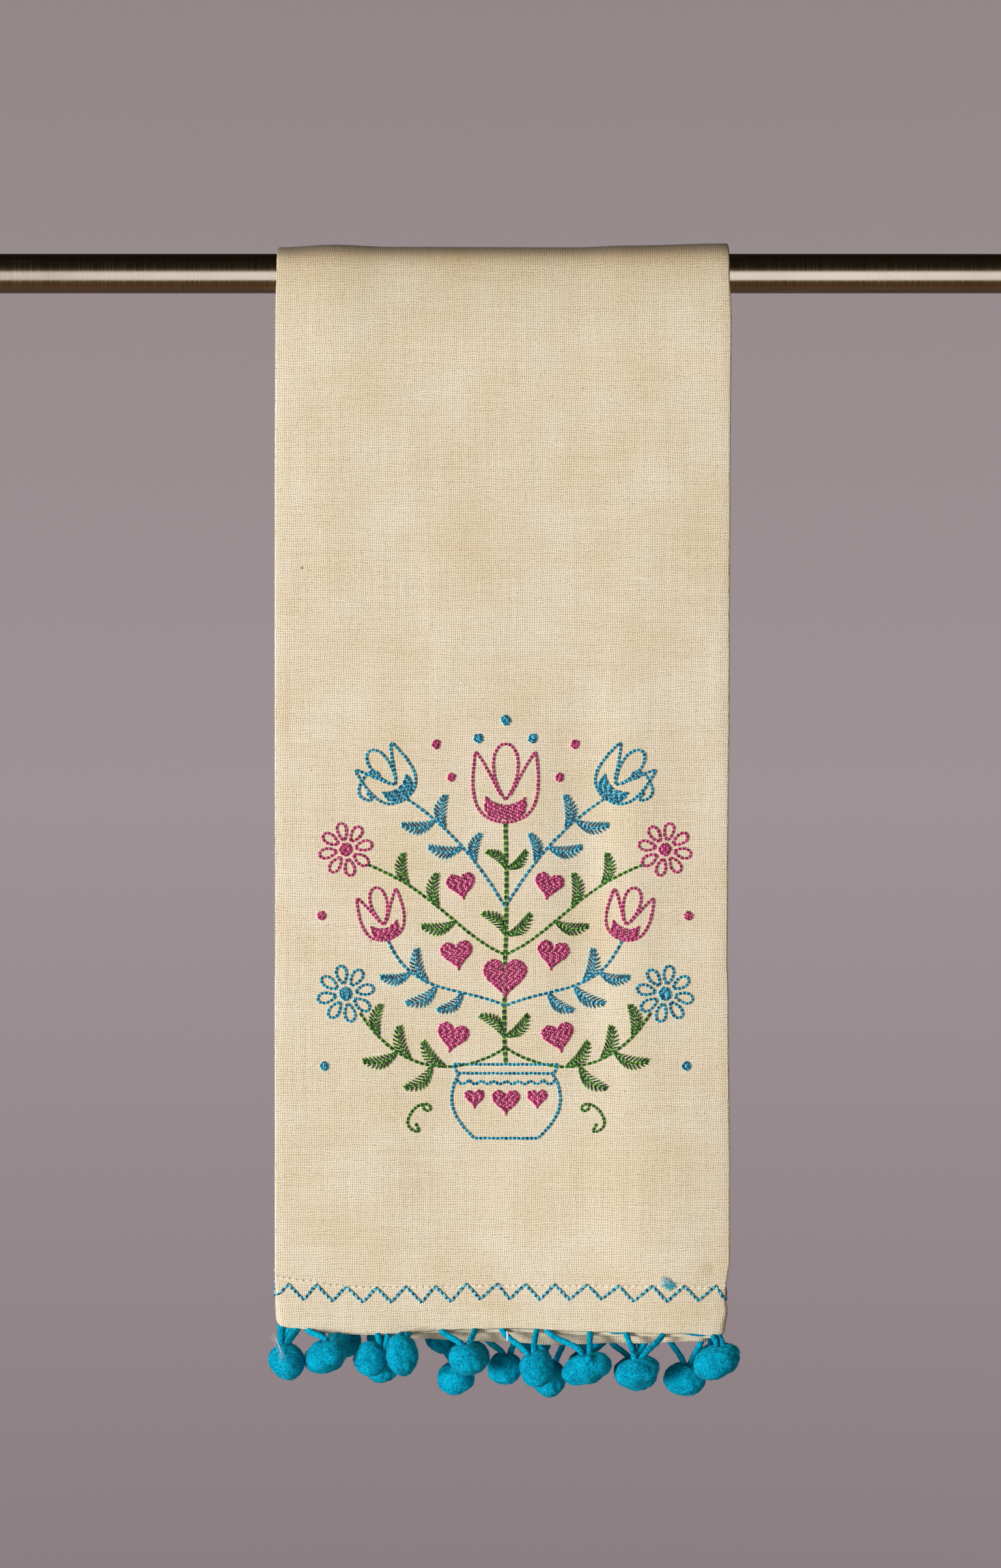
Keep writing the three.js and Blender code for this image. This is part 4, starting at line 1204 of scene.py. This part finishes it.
def sewTopstitch(dense, across, draw):
    strayAlong, strayUp = hemSewing["topstitchStray"]
    count = int(across[-1] / hemSewing["topstitchPitch"])
    middles = (np.arange(count) + 0.5) * hemSewing["topstitchPitch"]
    middles = middles + draw.uniform(-strayAlong, strayAlong, count)
    ends = []
    for end in (-1, 1):
        station = np.interp(middles + end * hemSewing["topstitchLength"] / 2, across, dense)
        drop = hemRowDrop(station, "topstitch") - end * hemSewing["topstitchSlant"]
        ends.append(hemPoints(station, drop + draw.uniform(-strayUp, strayUp, count), 0.04))
    (starts, ups), (stops, _) = ends
    radii = hemSewing["topstitchRadius"] * draw.uniform(0.85, 1.1, count)
    points, faceSets, places = sewnThreads([(starts, stops, ups, radii, radii * 0.3)])
    thread = spunThread("creamCottonThread", hemSewing["topstitchColours"], cottonMatt,
                        hemSewing["topstitchTurnIn"])
    return makePiece("hem_topstitch", points, faceSets, thread, places)


def zigzagLine(dense, across, draw):
    # measured turns on the front, then an even zigzag on round the folds and the other layers
    turns = np.array(zigzagTurns)
    station = stationAt("front", turns[:, 0], 340.0, 0.6)
    places = np.interp(station, dense, across)
    half = hemSewing["zigzagPitch"] / 2
    before = np.arange(places[0] - half, across[0] + 0.5, -half)[::-1]
    after = np.arange(places[-1] + half, across[-1] - 0.5, half)
    turnPlace = np.concatenate([before, places, after])
    level, stray = np.arange(len(turnPlace)) - len(before), hemSewing["zigzagLevelStray"]
    turnRise = np.where(level % 2 == 0, *hemSewing["zigzagLevels"])
    turnRise = turnRise + draw.uniform(-stray, stray, len(level))
    turnRise[len(before):len(before) + len(places)] = hemRowDrop(station, "zigzag") - turns[:, 1]
    path = np.arange(turnPlace[0], turnPlace[-1], 0.05)
    rise = np.interp(path, turnPlace, turnRise)
    spread = 2 * round(hemSewing["zigzagSoftness"] / 0.1) + 1
    rise = np.convolve(np.pad(rise, spread // 2, mode="edge"), np.ones(spread) / spread, "valid")
    station = np.interp(path, across, dense)
    line, ups = hemPoints(station, hemRowDrop(station, "zigzag") - rise, 0.05)
    length = lengthAlong(line)
    return line, ups, length, np.interp(turnPlace, path, length)


def sewZigzag(dense, across, draw):
    line, ups, length, turnLength = zigzagLine(dense, across, draw)
    stitches, (strayAlong, strayAside) = [], hemSewing["zigzagStray"]
    for shift, aside in hemSewing["zigzagStrands"]:
        # whole stitches between the turns keep its corners sharp
        holes = [turnLength[-1:]]
        for first, last in zip(turnLength[:-1], turnLength[1:]):
            steps = max(2, round((last - first) / hemSewing["zigzagStitch"]))
            inner = np.arange(1, steps) + shift + draw.uniform(-strayAlong, strayAlong, steps - 1)
            holes.append(first + (last - first) * np.concatenate([[0], inner / steps]))
        holes = np.sort(np.concatenate(holes))
        spots, upAt = pointsAt(holes, length, line), unit(pointsAt(holes, length, ups))
        beside = np.cross(unit(np.gradient(spots, axis=0)), upAt)
        slant = beside[:-1] * hemSewing["zigzagSlant"]
        spots = spots + beside * (aside + draw.uniform(-strayAside, strayAside, (len(holes), 1)))
        radii = hemSewing["zigzagRadius"] * draw.uniform(0.88, 1.12, len(holes) - 1)
        stitches.append((spots[:-1] - slant, spots[1:] + slant, upAt[:-1], radii, radii * 0.35))
    points, faceSets, places = sewnThreads(stitches)
    thread = spunThread("turquoiseRayonThread", hemSewing["zigzagColours"], rayonGloss,
                        hemSewing["zigzagTurnIn"])
    return makePiece("hem_zigzag", points, faceSets, thread, places)


def makeHemStitching():
    dense = np.linspace(0.02, 4.98, 6000)
    across = lengthAlong(hemPoints(dense, hemRowDrop(dense, "zigzag"), 0)[0])
    draw = np.random.default_rng(12)
    return [sew(dense, across, draw) for sew in (sewTopstitch, sewZigzag)]


hemPieces = makeHemStitching()
print("stage 7: hem stitching")

# The embroidery is a posy of tulips, daisies and hearts in a pot.

embroidery = {
    "middleX": 76.5,  # mm from the towel's left edge
    "middleDrop": 217.8,
    "runRadius": 0.29,
    "satinRadius": 0.27,
    "satinPitch": 0.44,
    "satinStitch": 2.1,
    "satinStray": 0.14,
    "satinOver": 0.1,  # mm its stitches reach past the outline
    "satinTurn": 0.12,
    "outlineStitch": 1.4,
    "ribStitch": 1.6,
    "boneRadius": 0.3,
    "rises": {"run": 0.8, "satin": 1.2, "bones": 1.0},  # above the cloth, in thread radii
    "aside": 0.19,
    "runStray": 0.06,
}

# colours from the thread's painted-shade middle, through its own colour, to its painted-highlight ends
threadColours = {
    "green": ("#07250f", "#2f7d2c", "#aede66"),
    "blue": ("#033f5c", "#1aa4cc", "#9cf0f8"),
    "magenta": ("#7c0b3a", "#da3c84", "#fcb0d0"),
}

# stems: colour, four points of the curve, stitch length, how many threads lie side by side, whether
# mirrored, and the leaves, each by its share of the way up, its side and its length
stemTable = [
    ("green", ((0, -46), (-1.5, -30), (1.5, -5), (0, 34)), 2.0, 3, False, (
        (0.17, 1, 11), (0.17, -1, 11), (0.63, 1, 11), (0.63, -1, 11), (0.86, 1, 9), (0.86, -1, 9))),
    ("green", ((0, -41), (14, -50), (34, -52), (48.3, -29.2)), 1.9, 2, True, (
        (0.42, 1, 11.5), (0.5, -1, 12), (0.64, 1, 12), (0.74, -1, 12), (0.86, 1, 11))),
    ("blue", ((0, -27), (16, -20), (31, -24), (39, -5)), 1.9, 2, True, (
        (0.3, -1, 10.5), (0.5, -1, 12), (0.58, 1, 12), (0.74, -1, 10.5))),
    ("green", ((0, -10), (15, -4), (24, 12), (46, 20)), 1.9, 2, True, (
        (0.4, -1, 11.5), (0.55, 1, 11.5), (0.76, 1, 11))),
    ("blue", ((0, 6), (7, 17), (15, 30), (33, 42)), 1.9, 2, True, (
        (0.42, 1, 10), (0.56, -1, 11.5), (0.72, 1, 11.5), (0.8, -1, 11.5))),
]

# motifs: kind, colour, place, turn in degrees, size and whether mirrored
motifTable = [
    ("pot", "blue", 0, -71, 0, 25, False),
    ("heart", "magenta", 0, -58.5, 0, 9.5, False),
    ("heart", "magenta", 10.4, -57.5, 0, 7, True),
    ("tulip", "magenta", 0, 34, 0, 25, False),
    ("daisy", "blue", 53, -23, 0, 19, True),
    ("tulip", "magenta", 39, -5, -14, 17, True),
    ("daisy", "magenta", 53, 25, 0, 18, True),
    ("tulip", "blue", 33, 42, -38, 19, True),
    ("heart", "magenta", 0, -17, 0, 15, False),
    ("heart", "magenta", 17.5, -37, 12, 11, True),
    ("heart", "magenta", 16, -9.6, -8, 11, True),
    ("heart", "magenta", 14.6, 13.4, -10, 10, True),
    ("berry", "blue", 9, 62, 0, 3.2, True),
    ("berry", "blue", 0, 68, 0, 3.4, False),
    ("berry", "magenta", 23, 60, 0, 3.0, True),
    ("berry", "blue", 60, -47, 0, 3.0, True),
    ("berry", "magenta", 61, 3, 0, 3.0, True),
    ("berry", "magenta", 18, 49, 0, 2.8, True),
    ("tendril", "blue", 46, 44, 60, 12, True),
    ("tendril", "green", 30, -66, 70, 12, True),
]


def loopShape(base, tip, width, count=60):
    # a petal outline from its base round its tip and back
    turn = np.linspace(0, 2 * math.pi, count)
    base, tip = np.array(base, float), np.array(tip, float)
    line = tip - base
    aside = np.array([-line[1], line[0]]) / np.linalg.norm(line)
    reach = (1 - np.cos(turn)) / 2
    return base + line * reach[:, None] + aside * (width / 2 * np.sin(turn) * reach**0.35)[:, None]


def heartShape():
    turn = np.linspace(0, 2 * math.pi, 80)
    return np.stack([16 * np.sin(turn)**3, 13 * np.cos(turn) - 5 * np.cos(2 * turn)
                     - 2 * np.cos(3 * turn) - np.cos(4 * turn)], -1) / 33


leafShape = {"bones": 9, "bend": 0.16, "width": 0.21, "slant": 0.17, "lean": 48}


def leafRib(share):
    return np.stack([leafShape["bend"] * np.sin(math.pi * share), share], -1)


def leafBones():
    # slanting stitches from a leaf's curved rib out to both edges
    t = np.linspace(0.02, 0.86, leafShape["bones"])
    width = leafShape["width"] * np.sin(math.pi * np.clip(t * 0.9 + 0.12, 0, 1)) ** 0.8
    outer = leafRib(np.clip(t + leafShape["slant"], 0, 1))
    ends = [outer + np.stack([side * width, 0 * t], -1) for side in (-1, 1)]
    return np.tile(leafRib(t), (2, 1)), np.concatenate(ends), leafRib(np.linspace(0, 1.0, 30))


def roundShape(radius):
    turn = np.linspace(0, 2 * math.pi, 30)
    return np.stack([np.cos(turn), np.sin(turn)], -1) * radius


def tulipParts():
    side = np.concatenate([
        bezier(((0, 0), (-0.5, 0.02), (-0.46, 0.5), (-0.4, 0.95)), 30),
        bezier(((-0.4, 0.95), (-0.28, 0.8), (-0.2, 0.62), (-0.06, 0.36)), 20)])
    cup = np.concatenate([bezier(curve, 16) for curve in (
        ((0, 0.03), (-0.3, 0.03), (-0.3, 0.2), (-0.26, 0.34)),
        ((-0.26, 0.34), (-0.1, 0.2), (0.1, 0.2), (0.26, 0.34)),
        ((0.26, 0.34), (0.3, 0.2), (0.3, 0.03), (0, 0.03)))])
    return [("run", side), ("run", side * [-1, 1]), ("run", loopShape((0, 0.3), (0, 1.05), 0.4)),
            ("satin", cup)]


def potParts():
    turn = np.linspace(0, 1, 40)[:, None]
    wall = bezier(((-0.42, 0), (-0.75, 0.3), (-0.8, 0.55), (-0.62, 0.86)), 40)
    foot, shoulder, rim, scallop = (
        np.array([-half, y]) + turn * np.array([2 * half, 0])
        for y, half in ((0, 0.42), (0.86, 0.64), (0.98, 0.7), (0.78, 0.66)))
    scallop = scallop + np.concatenate([turn * 0, -0.07 * np.abs(np.sin(turn * 8 * math.pi))], 1)
    lip = np.array([[-0.7, 0.98], [-0.64, 0.86]])
    return [("run", curve) for curve in (
        wall, wall * [-1, 1], foot, shoulder, rim, lip, lip * [-1, 1], scallop)]


def tendrilShape():
    turn = np.linspace(0, 1, 90)
    angle = math.pi * (0.5 - 3.1 * turn)
    radius = 0.42 * (1 - 0.8 * turn)
    return np.stack([
        0.42 * turn - radius * np.cos(angle) * 0.9,
        0.55 * ease(turn * 2.2) + radius * (np.sin(angle) - 1) * ease(turn * 3)], -1)


def daisyParts():
    parts = []
    for angle in np.arange(8) * math.pi / 4 + 0.2:
        aim = np.array([math.sin(angle), math.cos(angle)])
        parts.append(("run", loopShape(aim * 0.17, aim * 0.5, 0.22)))
    return parts + [("satin", roundShape(0.12))]


# each motif as (style, shape) pairs one unit high, pointing up from the origin
motifParts = {
    "heart": [("satin", heartShape())],
    "berry": [("satin", roundShape(0.5))],
    "leaf": [("bones", leafBones())],
    "tendril": [("run", tendrilShape())],
    "daisy": daisyParts(),
    "tulip": tulipParts(),
    "pot": potParts(),
}


class Sewing:
    # gathers the stitches of each colour on the flat cloth
    def __init__(self, seed):
        self.draw = np.random.default_rng(seed)
        self.rows = {colour: [] for colour in threadColours}

    def add(self, colour, starts, ends, radius, style):
        if len(starts):
            self.rows[colour].append((starts, ends, radius, embroidery["rises"][style]))

    def run(self, colour, curve, stitch, passes):
        length = lengthAlong(curve)
        count = max(1, round(length[-1] / stitch))
        for index in range(passes):
            holes = np.arange(count + 1) * length[-1] / count
            spots = pointsAt(holes, length, curve)
            along = unit(np.gradient(spots, axis=0)) if count > 1 else unit(curve[-1:] - curve[:1])
            aside = (index - (passes - 1) / 2) * 2 * embroidery["aside"]
            stray = embroidery["runStray"]
            wobble = self.draw.uniform(-stray, stray, (len(spots), 1))
            spots = spots + np.stack([-along[:, 1], along[:, 0]], -1) * (aside + wobble)
            self.add(colour, spots[:-1], spots[1:], embroidery["runRadius"], "run")

    def satin(self, colour, outline, turn):
        aim = np.array([math.cos(turn), math.sin(turn)])
        across = np.array([-aim[1], aim[0]])
        level = outline @ across
        place = outline @ aim
        starts, ends = [], []
        over, stray = embroidery["satinOver"], embroidery["satinStray"]
        rows = np.arange(level.min() + 0.15, level.max(), embroidery["satinPitch"])
        for row in rows:
            sign = level > row
            change = np.nonzero(sign != np.roll(sign, -1))[0]
            after = (change + 1) % len(outline)
            share = (row - level[change]) / (level[after] - level[change])
            crossings = np.sort(mix(place[change], place[after], share))
            for low, high in crossings[:len(crossings) // 2 * 2].reshape(-1, 2):
                start = low - over + embroidery["satinStitch"] * self.draw.uniform(0.3, 1.2)
                inner = np.arange(start, high - 0.5, embroidery["satinStitch"])
                holes = np.concatenate([[low - over], inner, [high + over]])
                holes = holes + self.draw.uniform(-stray, stray, len(holes))
                for first, last in zip(holes[:-1], holes[1:]):
                    starts.append(across * row + aim * first)
                    ends.append(across * row + aim * last)
        self.add(colour, np.array(starts), np.array(ends), embroidery["satinRadius"], "satin")


def sewMotif(sewing, kind, colour, x, y, turn, size, side):
    angle = math.radians(turn)
    spin = np.array([[math.cos(angle), math.sin(angle)], [-math.sin(angle), math.cos(angle)]])

    def place(shape):
        return (shape @ spin * size + [x, y]) * [side, 1]

    for style, shape in motifParts[kind]:
        if style == "satin":
            sewing.satin(colour, place(shape), side * angle + embroidery["satinTurn"])
        elif style == "bones":
            starts, ends, rib = shape
            sewing.add(colour, place(starts), place(ends), embroidery["boneRadius"], "bones")
            sewing.run(colour, place(rib), embroidery["ribStitch"], 2)
        else:
            sewing.run(colour, place(shape), embroidery["outlineStitch"], 2)


def drawMotifs(sewing):
    for colour, points, stitch, passes, mirrored, leaves in stemTable:
        curve = bezier(points)
        along = np.gradient(curve, axis=0)
        for side in (1, -1) if mirrored else (1,):
            sewing.run(colour, curve * [side, 1], stitch, passes)
            for share, lean, size in leaves:
                index = round(share * (len(curve) - 1))
                heading = math.degrees(math.atan2(along[index, 1], along[index, 0]))
                turn = heading - 90 + leafShape["lean"] * lean
                sewMotif(sewing, "leaf", colour, *curve[index], turn, size, side)
    for *motif, mirrored in motifTable:
        for side in (1, -1) if mirrored else (1,):
            sewMotif(sewing, *motif, side)


def onFront(flat, lift):
    # a point of the design on the front panel
    x = clothShape["left"] + embroidery["middleX"] + flat[:, 0]
    drop = embroidery["middleDrop"] - flat[:, 1]
    station = stationAt("front", x - clothShape["left"], embroidery["middleDrop"],
                        clothShape["halfThickness"])
    return clothPoint("front", station, drop, clothShape["halfThickness"] + lift)


def makeEmbroidery():
    sewing = Sewing(23)
    drawMotifs(sewing)
    pieces = []
    for colour, rows in sewing.rows.items():
        stitches = []
        for starts, ends, radius, rise in rows:
            count = len(starts)
            ups = np.tile([0.0, -1.0, 0.0], (count, 1))
            radii = radius * sewing.draw.uniform(0.88, 1.12, count)
            stitches.append((onFront(starts, 0), onFront(ends, 0), ups, radii, radii * rise))
        points, faceSets, places = sewnThreads(stitches)
        material = spunThread(f"{colour}RayonThread", threadColours[colour], rayonGloss)
        pieces.append(makePiece(
            f"embroidery_{colour}", points, faceSets, material, places))
        print("   ", colour, "stitches:", sum(len(row[0]) for row in stitches))
    return pieces


embroideryPieces = makeEmbroidery()
print("stage 8: embroidery")

lint = {
    "tuft": {
        "x": 128.7, "drop": 336.3, "size": (2.6, 2.1), "hairs": 420, "radius": 0.06,
        "slant": 0.55,  # how far it runs to each side of its middle, as a share of its size
        "stray": (0.26, 0.22), "shift": (0.4, 0.3), "lay": (0.55, 0.1, 0.5),
        "curl": (0.5, 0.25, 0.5), "lift": 0.15, "fade": (-0.15, 0.75)},
    "tuftColour": "#3ccbdd",
    "wisp": {"hairs": 13, "radius": 0.034},
    "wispPlaces": [  # where its hairs start, bend and end, and how far each strays
        ((-0.5, -19.6, -352.4), (0.6, 0.3, 0.5)),
        ((3.0, -23.5, -356.4), (0.5, 0.2, 0.7)),
        ((3.9, -23.3, -360.2), (0.8, 0.15, 1.0))],
    "wispColour": "#dbe9ec",
    "pale": "#f4fafa",
    "threadEnd": {"x": 77.2, "drop": 352.2, "length": 3.1, "radius": 0.3, "back": -14.6},
}


def fluff(name, colour):
    # loose fibres, matt, uneven in tone and paler towards one end
    material, tree, shader = newMaterial(name, {
        "Roughness": 1.0, "Specular IOR Level": 0.1, "Sheen Weight": 0.3, "Sheen Roughness": 0.4})
    place = (addNode(tree, "TexCoord", {}), "Object")
    uneven = addNode(tree, "TexNoise", {"Vector": place, "Scale": 900.0, "Detail": 3.0})
    fade = (addNode(tree, "Attribute", {}, attribute_name="fade"), "Vector")
    fadeShare = addNode(tree, "SeparateXYZ", {0: fade})
    pale = addNode(tree, "Math", {0: uneven, 1: 0.8, 2: fadeShare}, operation="MULTIPLY_ADD",
                   use_clamp=True)
    mixed = addNode(tree, "Mix", {0: pale, 6: colour, 7: lint["pale"]}, data_type="RGBA")
    linkInputs(tree, shader, {"Base Color": (mixed, 2)})
    return material


def hairs(first, second, third, radius, draw):
    # fine curved hairs, each through three points, thinning towards both ends
    t = np.linspace(0, 1, 7)[None, :, None]
    centres = (1 - t)**2 * first[:, None] + 2 * (1 - t) * t * second[:, None] + t**2 * third[:, None]
    girths = radius * (1 - 0.8 * np.abs(2 * t[:, :, 0] - 1)**3) * draw.uniform(0.6, 1.2, (len(first), 1))
    return manyTubes(centres, girths, draw.normal(size=(len(first), 3)), 3)


def makeLint():
    draw = np.random.default_rng(64)
    left, tuft, wisp, end = clothShape["left"], lint["tuft"], lint["wisp"], lint["threadEnd"]

    # a tuft of pom-pom wool caught on the cloth, thin and pale towards its upper left
    count = tuft["hairs"]
    lengthwise = draw.uniform(-1, 1, (count, 1))
    size = np.array(tuft["size"])
    place = lengthwise * (size * tuft["slant"])
    place = place + draw.normal(size=(count, 2)) * (size * tuft["stray"])
    station = stationAt("front", tuft["x"] + place[:, 0] + tuft["shift"][0])
    drop = tuft["drop"] + place[:, 1] + tuft["shift"][1]
    half = hemHalfAt(drop, edgeDrop("front", station))
    surface = clothPoint("front", station, drop, half + 0.08, half)
    lay, curl = (draw.normal(size=(count, 3)) * tuft[key] for key in ("lay", "curl"))
    lift = np.array([0, -tuft["lift"], 0]) - np.abs(curl) * [0, 1, 0]
    middle = surface + curl * [1, 0, 1] + lift * 2
    points, faceSets = hairs(surface - lay, middle, surface + lay, tuft["radius"], draw)
    base, slope = tuft["fade"]
    fade = np.repeat(base - slope * lengthwise[:, 0], len(points) // count)
    pieces = [makePiece("lint_tuft", points, faceSets, fluff("feltLint", lint["tuftColour"]),
                        {"fade": np.stack([fade, fade, fade], -1)})]

    # a wisp of white hairs over the first pom-pom, and a white thread end under the hem
    strands = hairs(*[
        np.array([left + x, y, z]) + draw.normal(size=(wisp["hairs"], 3)) * strays
        for (x, y, z), strays in lint["wispPlaces"]], wisp["radius"], draw)
    t = np.linspace(0, 1, 6)
    centres = np.stack([left + end["x"] + 0.2 * np.sin(t * 3), end["back"] + 0 * t,
                        -end["drop"] - end["length"] * t], -1)[None]
    stub = manyTubes(centres, np.full((1, 6), end["radius"]), np.array([[0, -1.0, 0]]), 8)
    points, faceSets, _ = joinMeshes([(*strands, {}), (*stub, {})])
    pieces.append(makePiece("lint_wisp", points, faceSets, fluff("cottonLint", lint["wispColour"])))
    return pieces


lintPieces = makeLint()
print("stage 9: lint")

# the backdrop's sizes and the lights' places are metres, the lights' powers watts
studio = {
    "middleX": 0.228,
    "floorDrop": 2.6,
    "radius": 4.4,
    "curve": 0.8,
    "wallTop": 2.2,
    "sides": 96,
    # the backdrop's glow is painted light: the glow colours up the wall behind, dimming to the front colour
    # in front
    "glow": 0.9,
    "paint": "#4a4546",
    "front": "#5a4c3c",
    "glows": [(0.0, "#86797e"), (0.5, "#9f9497"), (1.0, "#938889")],
    "aim": (0.228, 0, -0.17),
    "lights": [
        ("keySoftbox", (-2.56, -2.6, -0.3), (1.2, 1.4), 154.5, "#fdfefe"),
        ("frontSoftbox", (0.34, -2.3, -0.86), (1.4, 2.4), 11.5, "#fffefa"),
        ("backSoftbox", (1.6, 2.2, 0.8), (1.6, 1.6), 6, "#ffffff"),
    ],
    "dim": (0.035, 0.03, 0.024, 1),
}


def paintedBackdrop():
    # studio backdrop, painted a pale mauve grey, whose glow is painted light: brighter behind the object
    # and at mid height, dim in front of it
    material, tree, shader = newMaterial("paintedBackdrop", {
        "Base Color": studio["paint"], "Roughness": 1.0, "Specular IOR Level": 0.0,
        "Emission Strength": studio["glow"],
    })
    parts = addNode(tree, "SeparateXYZ", {0: (addNode(tree, "TexCoord", {}), "Object")})
    height = addNode(tree, "MapRange", {"Value": (parts, "Z"), "From Min": -1.6, "From Max": 1.2})
    glow = addNode(tree, "ValToRGB", {"Fac": height}, studio["glows"])
    depth = addNode(tree, "MapRange", {"Value": (parts, "Y"), "From Min": -0.5, "From Max": 2.0})
    lit = addNode(tree, "Mix", {0: depth, 6: studio["front"], 7: (glow, "Color")}, data_type="RGBA")
    linkInputs(tree, shader, {"Emission Color": (lit, 2)})
    return material


def makeStage():
    radius, curve, floor = studio["radius"], studio["curve"], -studio["floorDrop"]
    profile = [(0.01, floor), (radius * 0.5, floor)]
    profile += [(radius - curve + curve * math.sin(a), floor + curve * (1 - math.cos(a)))
                for a in np.linspace(0, math.pi / 2, 12)]
    profile += [(radius, 0.0), (radius, studio["wallTop"])]
    count = studio["sides"]
    points = [(r * math.cos(a) + studio["middleX"], r * math.sin(a), z) for r, z in profile
              for a in np.linspace(0, 2 * math.pi, count, endpoint=False)]
    faces = [
        (k * count + a, k * count + (a + 1) % count, (k + 1) * count + (a + 1) % count,
         (k + 1) * count + a)
        for k in range(len(profile) - 1) for a in range(count)]
    mesh = bpy.data.meshes.new("studioBackdrop")
    mesh.from_pydata(points, [], faces)
    mesh.polygons.foreach_set("use_smooth", [True] * len(faces))
    mesh.materials.append(paintedBackdrop())
    stage = bpy.data.objects.new("studioBackdrop", mesh)
    bpy.context.collection.objects.link(stage)


def softbox(name, place, size, power, colour):
    data = bpy.data.lights.new(name, "AREA")
    data.shape = "RECTANGLE"
    data.size, data.size_y = size
    data.energy = power
    data.color = hexColour(colour)[:3]
    light = bpy.data.objects.new(name, data)
    light.location = place
    aim = Vector(studio["aim"]) - Vector(place)
    light.rotation_euler = aim.to_track_quat("-Z", "Y").to_euler()
    light.visible_camera = False
    bpy.context.collection.objects.link(light)


makeStage()
for light in studio["lights"]:
    softbox(*light)
world = bpy.data.worlds.new("dimStudio")
world.use_nodes = True
world.node_tree.nodes["Background"].inputs["Color"].default_value = studio["dim"]
bpy.context.scene.world = world
bpy.context.scene.view_settings.view_transform = "Standard"
print("stage 10: studio")
